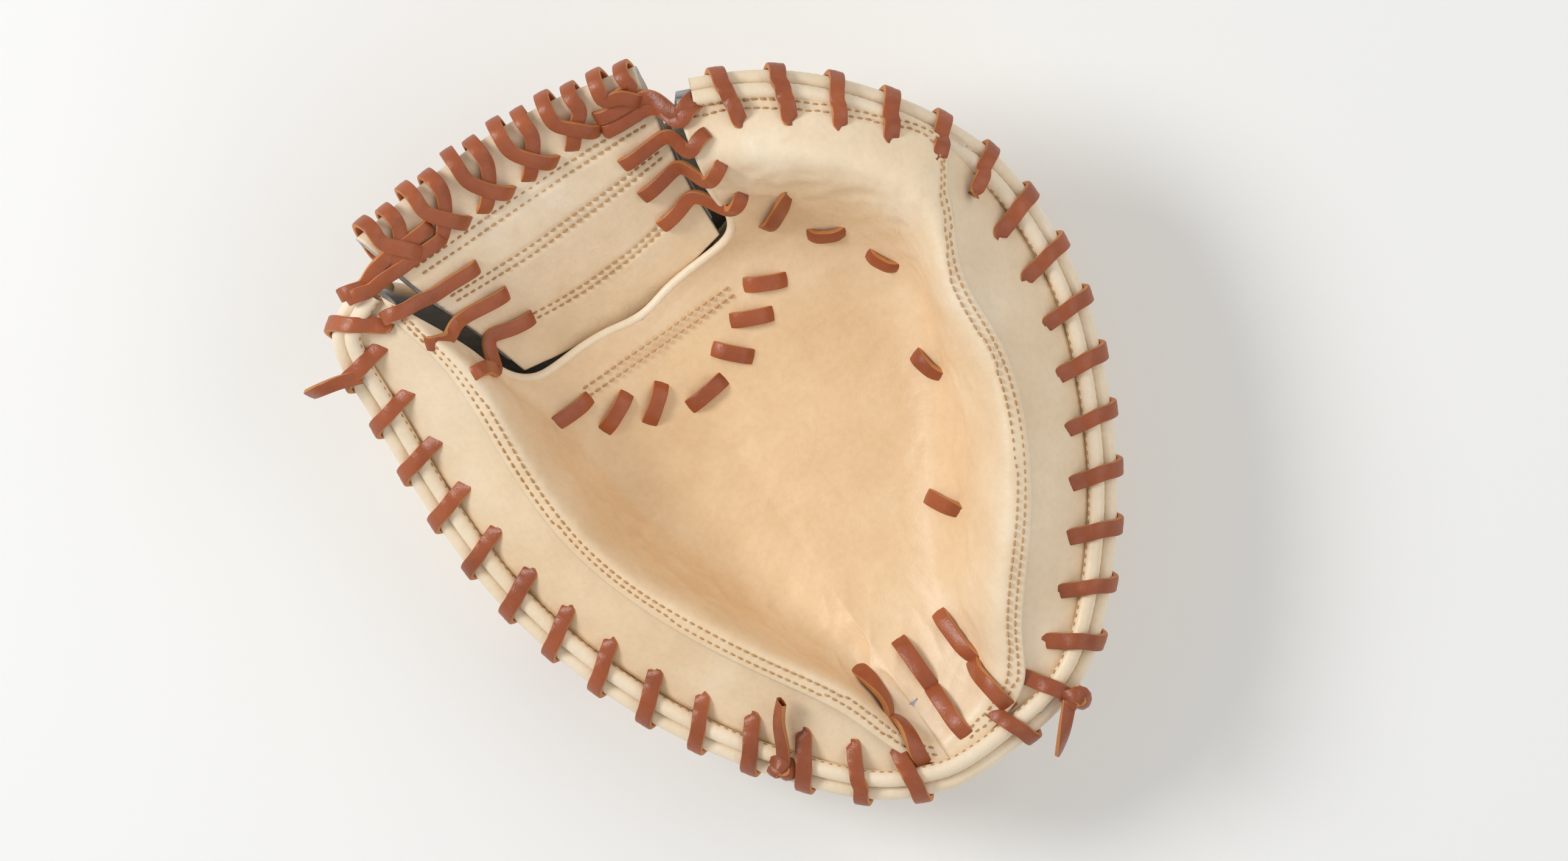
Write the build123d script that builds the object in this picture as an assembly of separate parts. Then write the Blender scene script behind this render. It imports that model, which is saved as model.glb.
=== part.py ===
from build123d import *
import os

import numpy as np

os.makedirs("parts", exist_ok=True)

# Catcher's mitt for a right-handed thrower, lying on its back with the pocket up.
# +Y runs from the heel to the web along the crease, +X to the fingers, +Z out of the pocket.
# All lengths are in millimetres.

# Leathers and paddings
leather = 3.0           # shell leather of the palm and the web
band_leather = 2.6      # rim band beside the palm leather
back_leather = 2.6      # back panels
lining = 1.6            # hand lining
felt = 6.0              # wool felt under the pocket
pad_floor = 5.0         # felt left under the hollow of a pad's D section
pad_end = {"thumb": 0.7, "finger": 0.84}   # the last station of each pad, towards the heel
strap_leather = 3.2     # wrist strap
stiffener = 1.8         # plastic stiffeners of the thumb and the little finger
trim_gap = 0.5          # air between soft pieces that lie on each other
crease_gap = 2.4        # slot between the thumb half and the finger half at the crease
lap = 7.0               # how far the rim band runs under the palm leather's raw edge

# Bindings and laces
binding_radius = 3.2    # rolled rim binding
binding_step = 5.0      # the palm's roll lies this far inside the back's roll
binding_rise = 4.7      # and this far above it
fine_binding = 4.6      # width of the folded binding at the wrist
lace_width = 6.35       # quarter inch lace
lace_thick = 2.4
wrap_pitch = 22.0       # from one rim lace wrap to the next

# Hand
strap_width = 55.0      # wrist strap, across the hand's length
strap_reach = 78.0      # wrist strap, along the wrist, with its ends under the flaps
strap_window = 51.0     # between the two flaps
strap_slide = 4.2       # extra room over the flaps, so that the strap slides when the mitt closes
finger_room = (33.0, 8.5)   # half width and half height of the finger stall
thumb_room = (16.0, 9.5)    # half width and half height of the thumb stall

# Guide curves of the shell. Station 0 is at the web, station 10 is the crease at the heel.
# Each row is x, y, z. The rim is the outermost line, which is the back roll's outer face.
thumb_rim = [(-80, 126, 88), (-101, 114, 80), (-106, 84, 68), (-109, 48, 56), (-109, 8, 51), (-102, -33, 50),
             (-86, -76, 52), (-64, -113, 57), (-39, -143, 62), (-19, -157, 64), (0, -164, 65)]
thumb_seam = [(-76, 116, 95), (-76, 100, 95), (-72, 76, 92), (-74, 40, 86), (-74, 6, 82), (-68, -24, 81),
              (-56, -55, 81), (-39, -87, 80), (-23, -116, 76), (-14, -140, 70), (0, -155, 66)]
thumb_crest = [(-71, 106, 96), (-70, 94, 97), (-66, 71, 94), (-68, 37, 89), (-68, 4, 85), (-62, -25, 84),
               (-50, -53, 84), (-34, -83, 83), (-18, -112, 78), (-11, -136, 71), (0, -150, 66)]
thumb_foot = [(-51, 60, 61), (-50, 50, 54), (-48, 35, 48), (-46, 15, 43), (-43, -9, 40), (-36, -33, 40),
              (-27, -58, 42), (-18, -84, 46), (-11, -108, 52), (-7, -128, 59), (0, -140, 62)]
finger_rim = [(62, 119, 98), (94, 102, 96), (123, 73, 90), (143, 38, 80), (149, 5, 72), (145, -33, 68),
              (131, -70, 66), (109, -108, 66), (77, -144, 67), (45, -161, 66), (0, -164, 65)]
finger_seam = [(54, 101, 103), (79, 85, 106), (105, 60, 106), (124, 32, 101), (111, 0, 100), (107, -32, 98),
               (96, -65, 95), (75, -98, 91), (51, -127, 83), (36, -147, 74), (0, -155, 66)]
finger_crest = [(52, 93, 103), (74, 78, 107), (99, 54, 108), (114, 27, 106), (104, -1, 103), (100, -31, 101),
                (90, -62, 98), (69, -93, 94), (46, -121, 85), (32, -141, 75), (0, -150, 66)]
finger_foot = [(49, 61, 61), (59, 55, 56), (74, 42, 51), (87, 20, 46), (89, -3, 44), (79, -29, 43),
               (65, -54, 44), (48, -79, 48), (34, -102, 54), (27, -126, 60), (0, -140, 62)]
crease_line = [(0, 53, 47), (0, 46, 44), (0, 36, 40), (0, 22, 37), (0, 6, 35), (0, -12, 34),
               (0, -33, 35), (0, -55, 38), (0, -80, 44), (0, -104, 52), (0, -126, 58)]
tip_margin = 0.3          # extra room beside the roll there, as a share of the seam's place
finger_band_start = 0.24   # above this station the palm leather runs out to the finger tip's rim
palm_places = [0.0, 0.3, 0.36, 0.52, 0.64, 0.82, 1.0]   # rim, seam, crest, wall, foot, floor, crease

# Heights of the back below the shell, at the same stations.
side_inset, low_inset = 13.0, 40.0     # from the rim to the back's shoulder and to its flat
overrun = 4.0                          # the back is drawn past the crease, then cut at it
side_share = 0.42                      # height of the shoulder, as a share of the rim's height
thumb_low = [44, 30, 12, 1, -1, -1, 2, 6, 11, 16, 22]
finger_low = [48, 40, 20, 4, -1, -1, -1, 1, 6, 13, 22]
crease_low = [26, 17, 8, 1, -1, -1, 1, 4, 5, 7, 10]
back_places = [0.0, 0.12, 0.38, 0.7, 1.0]               # rim, shoulder, flat, middle, crease

# Web panel, left to right in rows from its foot to its top.
web_rows = [[(-49, 66, 59), (-24, 62, 48), (-4, 60, 44), (18, 62, 48), (43, 66, 58)],
            [(-54, 84, 74), (-26, 81, 62), (-6, 80, 59), (18, 81, 62), (44, 84, 73)],
            [(-61, 105, 90), (-30, 104, 79), (-8, 104, 76), (18, 104, 79), (47, 104, 88)],
            [(-69, 134, 101), (-36, 136, 96), (-8, 136, 95), (20, 133, 96), (51, 126, 100)]]
web_spacing = 3.2       # air between the web's front and back panels

# The hand's direction on the back, and the places of the back's pieces.
hand_axis = np.array([0.574, 0.819])
wrist_axis = np.array([0.819, -0.574])
strap_centre = np.array([-39.0, -105.0])
opening_outline = [(17, -78), (-6, -58), (-31, -43), (-45, -44), (-47, -55), (-24, -80), (2, -100), (18, -96)]
index_outline = [(-29, -37), (6, -56), (38, -10), (38, 13), (19, 13)]
crescent_seam = [(104, 92), (75, 62), (52, 40), (30, 26), (9, 19), (-19, 13), (-43, 15), (-63, 22), (-84, 40),
                 (-112, 60)]
fourchette_outline = [(42, -24), (88, 30), (80, 42), (66, 44), (44, 20)]
patch_centre, patch_size = (-79, -30), (34.0, 24.0)

palm_holes_thumb = [(-42, 40, 4), (-29, 30, 24), (-14.5, 24, 38)]
palm_holes_finger = [(6, 16, 5), (21, 23, -47), (35, 30, -25), (47, 38, -27), (65, 57, 20), (76, 40, -30),
                     (61, -71, -60)]
heel_laces = {"thumb": [-9.0], "finger": [10.0, 29.0]}
heel_lace_span = (-146.0, -106.0)

parts = {}
bodies = {"finger_side": [], "thumb_side": []}


def spline_weights(knots, places):
    """Rows that turn values at the knots into a natural cubic spline's values at the places."""
    knots, places = np.asarray(knots, float), np.asarray(places, float)
    count, step = len(knots), np.diff(knots)
    left, right = np.eye(count), np.zeros((count, count))
    for k in range(1, count - 1):
        left[k, k - 1:k + 2] = step[k - 1], 2 * (step[k - 1] + step[k]), step[k]
        right[k, k - 1:k + 2] = 6 / step[k - 1], -6 / step[k - 1] - 6 / step[k], 6 / step[k]
    bend = np.linalg.solve(left, right)
    span = np.clip(np.searchsorted(knots, places, side="right") - 1, 0, count - 2)
    low = (knots[span + 1] - places) / step[span]
    high = 1 - low
    rows = np.zeros((len(places), count))
    rows[np.arange(len(places)), span] += low
    rows[np.arange(len(places)), span + 1] += high
    scale = (step[span] ** 2 / 6)[:, None]
    return rows + (low ** 3 - low)[:, None] * scale * bend[span] + (high ** 3 - high)[:, None] * scale * bend[span + 1]


def along(curve, places):
    """Points of a guide curve at places from 0, at the web, to 1, at the heel."""
    curve = np.asarray(curve, float)
    return spline_weights(np.linspace(0, 1, len(curve)), places) @ curve


def outward(rim, sign, places):
    """Level unit normals of a rim curve, pointing out of the mitt. The sign is the half's side of the crease."""
    step = along(rim, np.asarray(places) + 0.004) - along(rim, np.asarray(places) - 0.004)
    normal = -sign * np.stack([step[:, 1], -step[:, 0], np.zeros(len(step))], axis=1)
    return normal / np.linalg.norm(normal, axis=1)[:, None]


class Patch:
    """A grid of points on a surface, with the surface's unit normals there."""

    def __init__(self, points, unit):
        self.points, self.unit = points, unit

    def at(self, distance):
        """The grid moved along its normals."""
        return self.points + self.unit * distance


class Half:
    """The shell of one half: its rim, palm surface and back surface, on the side given by sign."""

    def __init__(self, name, sign, rim, seam, crest, foot, low, band_start):
        self.name, self.sign, self.low, self.band_start = name, sign, low, band_start
        past = np.array([sign * (crease_gap / 2 + trim_gap), 0.0, 0.0])
        self.rim, self.seam, self.crest, self.foot = [
            np.array(curve[:-1] + [tuple(np.array(curve[-1]) + past)]) for curve in (rim, seam, crest, foot)]
        self.crease_line = np.array(crease_line) + past

    def back_roll(self, places):
        return along(self.rim, places) - outward(self.rim, self.sign, places) * binding_radius

    def palm_roll(self, places):
        inset = binding_radius + binding_step
        return along(self.rim, places) - outward(self.rim, self.sign, places) * inset + np.array([0, 0, binding_rise])

    def palm_guides(self, places):
        crest, foot, crease = along(self.crest, places), along(self.foot, places), along(self.crease_line, places)
        wall = crest + (foot - crest) * np.array([0.6, 0.6, 0.55])
        floor = foot + (crease - foot) * np.array([0.5, 0.5, 0.72])
        return np.stack([self.palm_roll(places), along(self.seam, places), crest, wall, foot, floor, crease], axis=1)

    def back_guides(self, places):
        rim, crease = self.back_roll(places), along(self.crease_line, places)
        low = along([(0, 0, z) for z in self.low], places)[:, 2]
        crease[:, 2] = along([(0, 0, z) for z in crease_low], places)[:, 2]
        crease[:, 0] -= self.sign * overrun
        inward = crease - rim
        reach = np.linalg.norm(inward[:, :2], axis=1)
        inward = inward / reach[:, None]
        side = rim + inward * np.minimum(side_inset, 0.3 * reach)[:, None]
        side[:, 2] = low + (rim[:, 2] - low) * side_share
        flat = rim + inward * np.minimum(low_inset, 0.6 * reach)[:, None]
        flat[:, 2] = low
        return np.stack([rim, side, flat, (flat + crease) / 2, crease], axis=1)

    def patch(self, guides, knots, starts, ends, span, columns, rows):
        """Stations along the rim, and rows from starts to ends across the shell."""
        stations = np.linspace(*span, columns)
        across = starts[:, None] + (ends - starts)[:, None] * np.linspace(0, 1, rows)

        def points(shift_along, shift_across, inside=False):
            where = np.minimum(stations, 0.975) if inside else stations
            lines = guides(where + shift_along)
            places = np.minimum(across, 0.96) if inside else across
            return np.stack([spline_weights(knots, row + shift_across) @ line for row, line in zip(places, lines)])

        small = 0.004
        unit = np.cross(points(small, 0, True) - points(-small, 0, True), points(0, small, True) - points(0, -small, True))
        unit *= np.where(unit[..., 2:] < 0, -1.0, 1.0)
        return Patch(points(0, 0), unit / np.linalg.norm(unit, axis=2)[..., None])

    def clear_of_roll(self, guides, knots, stations, margin=0.0):
        """The places across the shell that are just clear of the binding's roll."""
        lines = guides(stations)
        across = lines[:, 1] - lines[:, 0]
        run = along(self.rim, stations + 0.004) - along(self.rim, stations - 0.004)
        run /= np.linalg.norm(run, axis=1)[:, None]
        square = across - np.sum(across * run, axis=1)[:, None] * run
        return knots[1] * (binding_radius + trim_gap + 0.6 + margin) / np.linalg.norm(square, axis=1)

    def leather_starts(self, stations):
        """Where the palm leather starts: at the seam, and just inside the roll above the band's start."""
        clear = self.clear_of_roll(self.palm_guides, palm_places, stations)
        share = np.clip((stations - self.band_start) / 0.08, 0, 1) if self.sign > 0 else np.ones(len(stations))
        clear = clear + tip_margin * palm_places[1]
        return clear + (palm_places[1] - clear) * share * share * (3 - 2 * share)

    def palm(self, start, end, rows=18, span=(0.0, 1.0), columns=26):
        """Palm surface between two places across it. A start of None is just inside the roll."""
        starts = self.clear_of_roll(self.palm_guides, palm_places, np.linspace(*span, columns))
        if start is not None:
            starts = start if isinstance(start, np.ndarray) else np.full(columns, start)
        ends = end if isinstance(end, np.ndarray) else np.full(columns, end)
        return self.patch(self.palm_guides, palm_places, starts, ends, span, columns, rows)

    def back(self, end=1.0, rows=18, span=(0.0, 1.0), columns=26, start=None):
        starts = np.full(columns, start) if start is not None else \
            self.clear_of_roll(self.back_guides, back_places, np.linspace(*span, columns))
        return self.patch(self.back_guides, back_places, starts, np.full(columns, end), span, columns, rows)


def apart(edge, other):
    """How far two edges' ends lie from each other, in whichever order is nearer."""
    ends, others = (edge @ 0, edge @ 1), (other @ 0, other @ 1)
    return min((ends[0] - others[0]).length + (ends[1] - others[1]).length,
               (ends[0] - others[1]).length + (ends[1] - others[0]).length)


def sheet(upper, lower, tolerance=0.05):
    """A closed solid between two grids of points, facing outwards whichever way the grids run."""
    solid = walled(upper, lower, tolerance)
    if solid.volume > 0:
        return solid
    return walled(upper.transpose(1, 0, 2), lower.transpose(1, 0, 2), tolerance)


def walled(upper, lower, tolerance):
    """Two smooth faces through grids of points, closed by ruled walls."""
    top, bottom = [Face.make_surface_from_array_of_points([[Vector(*p) for p in row] for row in grid], tol=tolerance,
                                                          min_deg=3, max_deg=3)
                   for grid in (upper, lower)]
    walls = [Face.make_surface_from_curves(edge, min(bottom.edges(), key=lambda other: apart(edge, other)))
             for edge in top.edges()]
    return Solid(Shell(walls + [top, bottom]))


def layer(patch, upper, lower):
    """A leather or felt sheet between two offsets of a surface."""
    return sheet(patch.at(upper), patch.at(lower))


def tube(centres, radius):
    """A round roll through the centres, square to its own run."""
    run = np.gradient(centres, axis=0)
    rings = [Wire([Edge.make_circle(radius, Plane(origin=Vector(*c), z_dir=Vector(*d)))]) for c, d in zip(centres, run)]
    return Solid.make_loft(rings)


def prism(points, low=-40.0, high=160.0):
    """An upright prism over an outline of plan points."""
    wire = Wire.make_polygon([Vector(x, y, low) for x, y in points], close=True)
    return Solid.extrude(Face(wire), Vector(0, 0, high - low))


def grown(points, distance):
    """A closed outline moved outwards at its points."""
    points = np.asarray(points, float)
    ahead, behind = np.roll(points, -1, axis=0), np.roll(points, 1, axis=0)
    area = np.sum(points[:, 0] * ahead[:, 1] - ahead[:, 0] * points[:, 1])
    way = [(ahead - points), (points - behind)]
    square = [np.stack([w[:, 1], -w[:, 0]], axis=1) / np.linalg.norm(w, axis=1)[:, None] for w in way]
    turn = square[0] + square[1]
    turn *= 2 / np.sum(turn * turn, axis=1)[:, None]
    return points + turn * (distance if area > 0 else -distance)


def rounded_prism(points, grow=0.0, low=-40.0, high=160.0):
    """An upright prism over a smooth closed curve through plan points, grown outwards."""
    points = grown(points, grow)
    edge = Edge.make_spline([Vector(x, y, low) for x, y in points], periodic=True)
    return Solid.extrude(Face(Wire([edge])), Vector(0, 0, high - low))


def box_along(centre, axis, length, width, low=-40.0, high=160.0):
    """An upright box with its length along a plan axis."""
    side = np.array([-axis[1], axis[0]])
    return prism([centre + axis * sx * length / 2 + side * sy * width / 2 for sx, sy in ((1, 1), (-1, 1), (-1, -1), (1, -1))],
                 low, high)


def height_of(*patches):
    """A function that gives the height and normal over a plan point, from the nearest grid points."""
    unit = np.concatenate([patch.unit.reshape(-1, 3) for patch in patches])
    flat = np.concatenate([patch.points.reshape(-1, 3) for patch in patches])

    def at(x, y):
        away = np.hypot(flat[:, 0] - x, flat[:, 1] - y)
        near = np.argsort(away)[:6]
        weight = 1 / (away[near] + 0.05) ** 2
        weight /= weight.sum()
        normal = weight @ unit[near]
        normal /= np.linalg.norm(normal)
        slope = (x - flat[near, 0]) * unit[near, 0] + (y - flat[near, 1]) * unit[near, 1]
        return float(weight @ (flat[near, 2] - slope / unit[near, 2])), normal
    return at


def strip(points, normal_at, width, thick, lift):
    """A flat lace through plan points that lies on a surface."""
    points = np.asarray(points, float)
    run = np.gradient(points, axis=0)
    side = np.stack([-run[:, 1], run[:, 0]], axis=1) / np.linalg.norm(run, axis=1)[:, None]
    low, high = [], []
    for point, across in zip(points, side):
        edges = [point + across * width * s for s in (-0.5, 0.0, 0.5)]
        level = [normal_at(*e) for e in edges]
        normal = level[1][1]
        base = max(z for z, _ in level)
        low.append([np.array([e[0], e[1], 0.5 * (z + base)]) + normal * lift for e, (z, _) in zip(edges, level)])
        high.append([p + normal * thick for p in low[-1]])
    return sheet(np.array(high), np.array(low))


def flat_bar(start, end, up, width=lace_width, thick=lace_thick):
    """A straight flat lace between two points, with its face towards up."""
    run = Vector(*(np.asarray(end) - np.asarray(start)))
    up = Vector(*up) - run * (Vector(*up).dot(run) / run.dot(run))
    plane = Plane(origin=Vector(*((np.asarray(start) + np.asarray(end)) / 2)), x_dir=run, z_dir=up)
    return plane * Box(run.length, width, thick)


def ring_loft(centres, axis, across, sizes):
    """A solid through elliptical sections with their wide side along a plan direction."""
    wires = []
    for centre, (wide, high) in zip(centres, sizes):
        plane = Plane(origin=Vector(*centre), x_dir=Vector(*across, 0), z_dir=Vector(*axis, 0))
        wires.append((plane * Ellipse(wide, high)).wire())
    return Solid.make_loft(wires)


def beyond_crease(sign):
    """The space across the crease from one half, with that half's share of the slot."""
    return Pos(-sign * (300 - crease_gap / 2), 0, 0) * Box(600, 800, 800)


def kept(shape, region):
    """The share of a shape that lies in a region."""
    return shape - (Box(900, 900, 900) - region)


def add(name, body, *shapes):
    """Keep a node's solids under its name and body."""
    parts[name] = [solid for shape in shapes for solid in shape.solids()]
    bodies[body].append(name)


thumb = Half("thumb", -1, thumb_rim, thumb_seam, thumb_crest, thumb_foot, thumb_low, -0.06)
finger = Half("finger", 1, finger_rim, finger_seam, finger_crest, finger_foot, finger_low, finger_band_start)
halves = {"thumb": thumb, "finger": finger}
seam_place, foot_place = palm_places[1], palm_places[4]

# Palm leather, rim band, felts, hand lining and rim bindings of both halves
for name, half in halves.items():
    body, far_side = name + "_side", beyond_crease(half.sign)
    under_leather = -leather - trim_gap
    add(f"palm_leather_{name}", body, layer(half.palm(half.leather_starts(np.linspace(0, 1, 26)), 1.0), 0, -leather))
    stations = np.linspace(half.band_start + 0.09, 0.9, 26)
    guides = half.palm_guides(stations)
    reach = np.linalg.norm(guides[:, 1] - guides[:, 0], axis=1)
    band = half.palm(None, seam_place * (1 + np.minimum(lap / reach, 0.2)), rows=10,
                     span=(half.band_start + 0.09, 0.9))
    add(f"rim_band_{name}", body, layer(band, under_leather, under_leather - band_leather) - far_side)
    pad_top = half.palm(0.14, foot_place - 0.02, rows=14, columns=20, span=(0.05, pad_end[name]))
    pad_top = pad_top.at(under_leather - band_leather - 1.0)
    share = np.linspace(0, 1, pad_top.shape[1])[None, :, None]
    pad_bottom = pad_top[:, :1] * (1 - share) + pad_top[:, -1:] * share
    pad_bottom[..., 2] = np.minimum(pad_bottom[..., 2], pad_top[..., 2]) - pad_floor
    add(f"{name}_pad_felt", body, sheet(pad_top, pad_bottom, 0.1) - far_side)
    floor = half.palm(foot_place + 0.03, 1.0, rows=12, span=(0.03, 0.97))
    add(f"pocket_felt_{name}", body, layer(floor, under_leather, under_leather - felt) - far_side)
    lining_top = under_leather - felt - trim_gap
    add(f"hand_lining_{name}", body, layer(floor, lining_top, lining_top - lining) - far_side)
    run = np.linspace(0.0, 1.0, 34)
    add(f"palm_binding_{name}", body, tube(half.palm_roll(run), binding_radius) - far_side)
    add(f"back_binding_{name}", body, tube(half.back_roll(run), binding_radius) - far_side)

# Back: one sheet under each half, cut into its panels in plan
below_rest = Pos(0, 0, -50) * Box(600, 600, 100)
back_patches = {name: half.back(span=(0.0, 0.985)) for name, half in halves.items()}
back_sheets = {name: layer(patch, back_leather, 0) - below_rest - beyond_crease(halves[name].sign)
               for name, patch in back_patches.items()}
opening = rounded_prism(opening_outline)
opening_ring = rounded_prism(opening_outline, fine_binding) - opening
opening_room = rounded_prism(opening_outline, fine_binding + trim_gap)
window = box_along(strap_centre, wrist_axis, strap_window, 2 * strap_width)
flap_room = box_along(strap_centre, wrist_axis, strap_window + 2 * (fine_binding + trim_gap), 2 * strap_width)
flap_rings = box_along(strap_centre, wrist_axis, strap_window + 2 * fine_binding, 2 * strap_width) - window
wrist_end = prism([(-140, -72), (-60, -72), (-22, -72), (6, -104), (60, -118), (60, -220), (-140, -220)])
window, flap_room, flap_rings = [kept(shape, wrist_end) for shape in (window, flap_room, flap_rings)]
little_side = box_along(strap_centre + wrist_axis * 100, wrist_axis, 200.0, 260.0)
little_side = kept(little_side, prism([(-150, -84), (-22, -84), (0, -104), (0, -220), (-150, -220)]))
index_prism, index_room = prism(index_outline), prism(grown(index_outline, trim_gap))
crescent_outline = crescent_seam + [(-150, 180), (150, 180)]
crescent, crescent_room = prism(crescent_outline), prism(grown(crescent_outline, trim_gap))
wedge, wedge_room = prism(fourchette_outline), prism(grown(fourchette_outline, trim_gap))

thumb_back = back_sheets["thumb"] - opening_room - flap_room - crescent_room
add("back_thumb_panel", "thumb_side", thumb_back - little_side - index_room)
add("little_finger_wrist_flap", "finger_side", kept(thumb_back, little_side))
finger_back = back_sheets["finger"] - opening_room - crescent_room - index_room - wedge_room
add("back_finger_panel", "finger_side", finger_back)
add("back_index_panel", "finger_side", kept(back_sheets["finger"], index_prism), kept(back_sheets["thumb"] - opening_room, index_prism))
add("finger_fourchette", "finger_side", kept(back_sheets["finger"], wedge))
for name, half in halves.items():
    add(f"web_base_crescent_{name}", f"{name}_side", kept(back_sheets[name], crescent))

# Folded bindings of the wrist opening and of the two wrist flaps
trim_sheets = {name: layer(patch, back_leather + 0.8, -0.4) - below_rest - beyond_crease(halves[name].sign)
               for name, patch in back_patches.items()}
add("opening_binding_thumb", "thumb_side", kept(trim_sheets["thumb"], opening_ring) - flap_room - index_room)
add("opening_binding_finger", "finger_side", kept(trim_sheets["finger"], opening_ring) - index_room)
flap_trim = kept(trim_sheets["thumb"] - opening_room, flap_rings)
add("thumb_flap_binding", "thumb_side", flap_trim - little_side)
add("little_finger_flap_binding", "finger_side", kept(flap_trim, little_side))

# Wrist strap inside the flaps, with a folded binding along each long edge
strap_lift = back_leather + 0.8 + trim_gap + strap_slide
strap_sheet = layer(back_patches["thumb"], strap_lift + strap_leather, strap_lift) - beyond_crease(-1)
strap_block = box_along(strap_centre, wrist_axis, strap_reach, strap_width - 2 * (fine_binding + trim_gap))
strap_trim = box_along(strap_centre, wrist_axis, strap_reach, strap_width) \
    - box_along(strap_centre, wrist_axis, strap_reach + 1, strap_width - 2 * fine_binding)
strap_zone = prism([(-140, -60), (-2, -60), (-2, -220), (-140, -220)])
add("wrist_strap", "thumb_side", kept(strap_sheet, kept(strap_block, strap_zone)))
add("wrist_strap_binding", "thumb_side", kept(strap_sheet, kept(strap_trim, strap_zone)))

# Web: front and back panels, each in two halves
web_net = np.array(web_rows, float)


def web_patch(rows=14, columns=14, low=0.0, high=1.0, left=0.0, right=1.0):
    """Grid on the web's front face, from its foot to its top and from left to right."""
    def points(up, over):
        return np.einsum("ri,ijk,cj->rck", spline_weights(np.linspace(0, 1, 4), up), web_net,
                         spline_weights(np.linspace(0, 1, 5), over))
    up, over = np.linspace(low, high, rows), np.linspace(left, right, columns)
    small = 0.004
    unit = np.cross(points(up, over + small) - points(up, over - small), points(up + small, over) - points(up - small, over))
    unit *= np.where(unit[..., 2:] < 0, -1.0, 1.0)
    return Patch(points(up, over), unit / np.linalg.norm(unit, axis=2)[..., None])


web_front = layer(web_patch(), 0, -leather)
web_back_top = -leather - web_spacing
web_back = layer(web_patch(low=0.04), web_back_top, web_back_top - leather)
for name, half in halves.items():
    far_side = beyond_crease(half.sign)
    add(f"web_front_panel_{name}", f"{name}_side", web_front - far_side)
    add(f"web_back_panel_{name}", f"{name}_side", web_back - far_side)

# Web-base binding: the rolled edge of the back under the web, and the welt of the palm's top edge
for name, half in halves.items():
    for node, patch, deep in (("palm_top_binding", half.palm(foot_place, 1.0, rows=24, span=(0.0, 0.02), columns=3),
                               leather), ("web_base_binding", half.back(rows=24, span=(0.0, 0.02), columns=3), -back_leather)):
        edge = patch.points[0] - patch.unit[0] * deep / 2
        away = patch.points[0] - patch.points[1]
        away -= np.sum(away * patch.unit[0], axis=1)[:, None] * patch.unit[0]
        away /= np.linalg.norm(away, axis=1)[:, None]
        roll = edge + away * (fine_binding / 2 + trim_gap + 0.6)
        add(f"{node}_{name}", f"{name}_side", tube(roll[3 if deep < 0 else 0:], fine_binding / 2) - beyond_crease(half.sign))
        if deep < 0:
            bars = []
            for share in (0.35, 0.6, 0.83):
                row = int(share * 23)
                under = roll[row] - patch.unit[0][row] * (fine_binding / 2 + trim_gap + lace_thick / 2)
                bars.append(flat_bar(under - away[row] * 8, under + away[row] * 8, patch.unit[0][row]))
            add(f"web_base_lace_{name}", f"{name}_side", *bars)

# Rim laces: each wrap goes from a hole in the rim band over both rolls to the back
for name, half in halves.items():
    rim_line = half.back_roll(np.linspace(0, 1, 400))
    run = np.concatenate([[0], np.cumsum(np.linalg.norm(np.diff(rim_line, axis=0), axis=1))])
    wraps = []
    for distance in np.arange(wrap_pitch * 0.8, run[-1] - wrap_pitch * 1.1, wrap_pitch):
        place = np.array([np.interp(distance, run, np.linspace(0, 1, 400))])
        out = outward(half.rim, half.sign, place)[0]
        inner_roll, outer_roll = half.palm_roll(place)[0], half.back_roll(place)[0]
        guides = half.palm_guides(place)[0]
        up = np.array([0, 0, 1.0])
        tilt = guides[1] - guides[0]
        tilt = (tilt @ out) * out + tilt[2] * up
        tilt /= np.linalg.norm(tilt)
        face = tilt[2] * out - (tilt @ out) * up
        step = (outer_roll - inner_roll) / np.linalg.norm(outer_roll - inner_roll)
        over = -step[2] * out + (step @ out) * up
        first = face if face[2] > over[2] + 0.05 else over

        def profile(extra):
            wide = (binding_radius + trim_gap + 0.6 + extra) * 1.06
            around = [tilt + first, first, over] if first is face else [tilt + over, over]
            rise = 1.6 if half.sign > 0 and place[0] < half.band_start + 0.12 else -2.4
            points = [inner_roll + tilt * 9.5 + face * (extra + rise), inner_roll + tilt * 5.6 + face * (extra + rise + 0.6)]
            points += [inner_roll + way / np.linalg.norm(way) * wide for way in around]
            return points + [outer_roll + way / np.linalg.norm(way) * wide for way in (over, over + step, step, step - over)]
        outline = profile(0.0) + profile(lace_thick)[::-1]
        section = Face(Wire.make_polygon([Vector(*p) for p in outline], close=True))
        lean = np.array([out[1], -out[0], 0.0]) * lace_width
        wraps.append(Solid.extrude(section, Vector(*lean)).moved(Location(Vector(*(-lean / 2)))))
    add(f"rim_lace_{name}", f"{name}_side", *wraps)

# Palm lacing: short flat runs through the pocket, and two runs down each heel lace
palm_top = {name: height_of(half.palm(seam_place, 1.0, rows=50, columns=60)) for name, half in halves.items()}
for name, holes in (("thumb", palm_holes_thumb), ("finger", palm_holes_finger)):
    runs = []
    for x, y, turn in holes:
        step = np.array([np.cos(np.radians(turn)), np.sin(np.radians(turn))])
        runs.append(strip([np.array([x, y]) + step * s for s in (-7, -3.5, 0, 3.5, 7)], palm_top[name], lace_width,
                          lace_thick, trim_gap + 0.5))
    add(f"palm_lace_{name}", f"{name}_side", *runs)
    runs = []
    for x in heel_laces[name]:
        low, high = heel_lace_span
        middle = (low + high) / 2
        for first, last in ((low, middle - 1.5), (middle + 1.5, high)):
            runs.append(strip([(x, y) for y in np.linspace(first, last, 6)], palm_top[name], lace_width, lace_thick,
                              trim_gap + 0.8))
    add(f"heel_lace_{name}", f"{name}_side", *runs)

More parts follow.
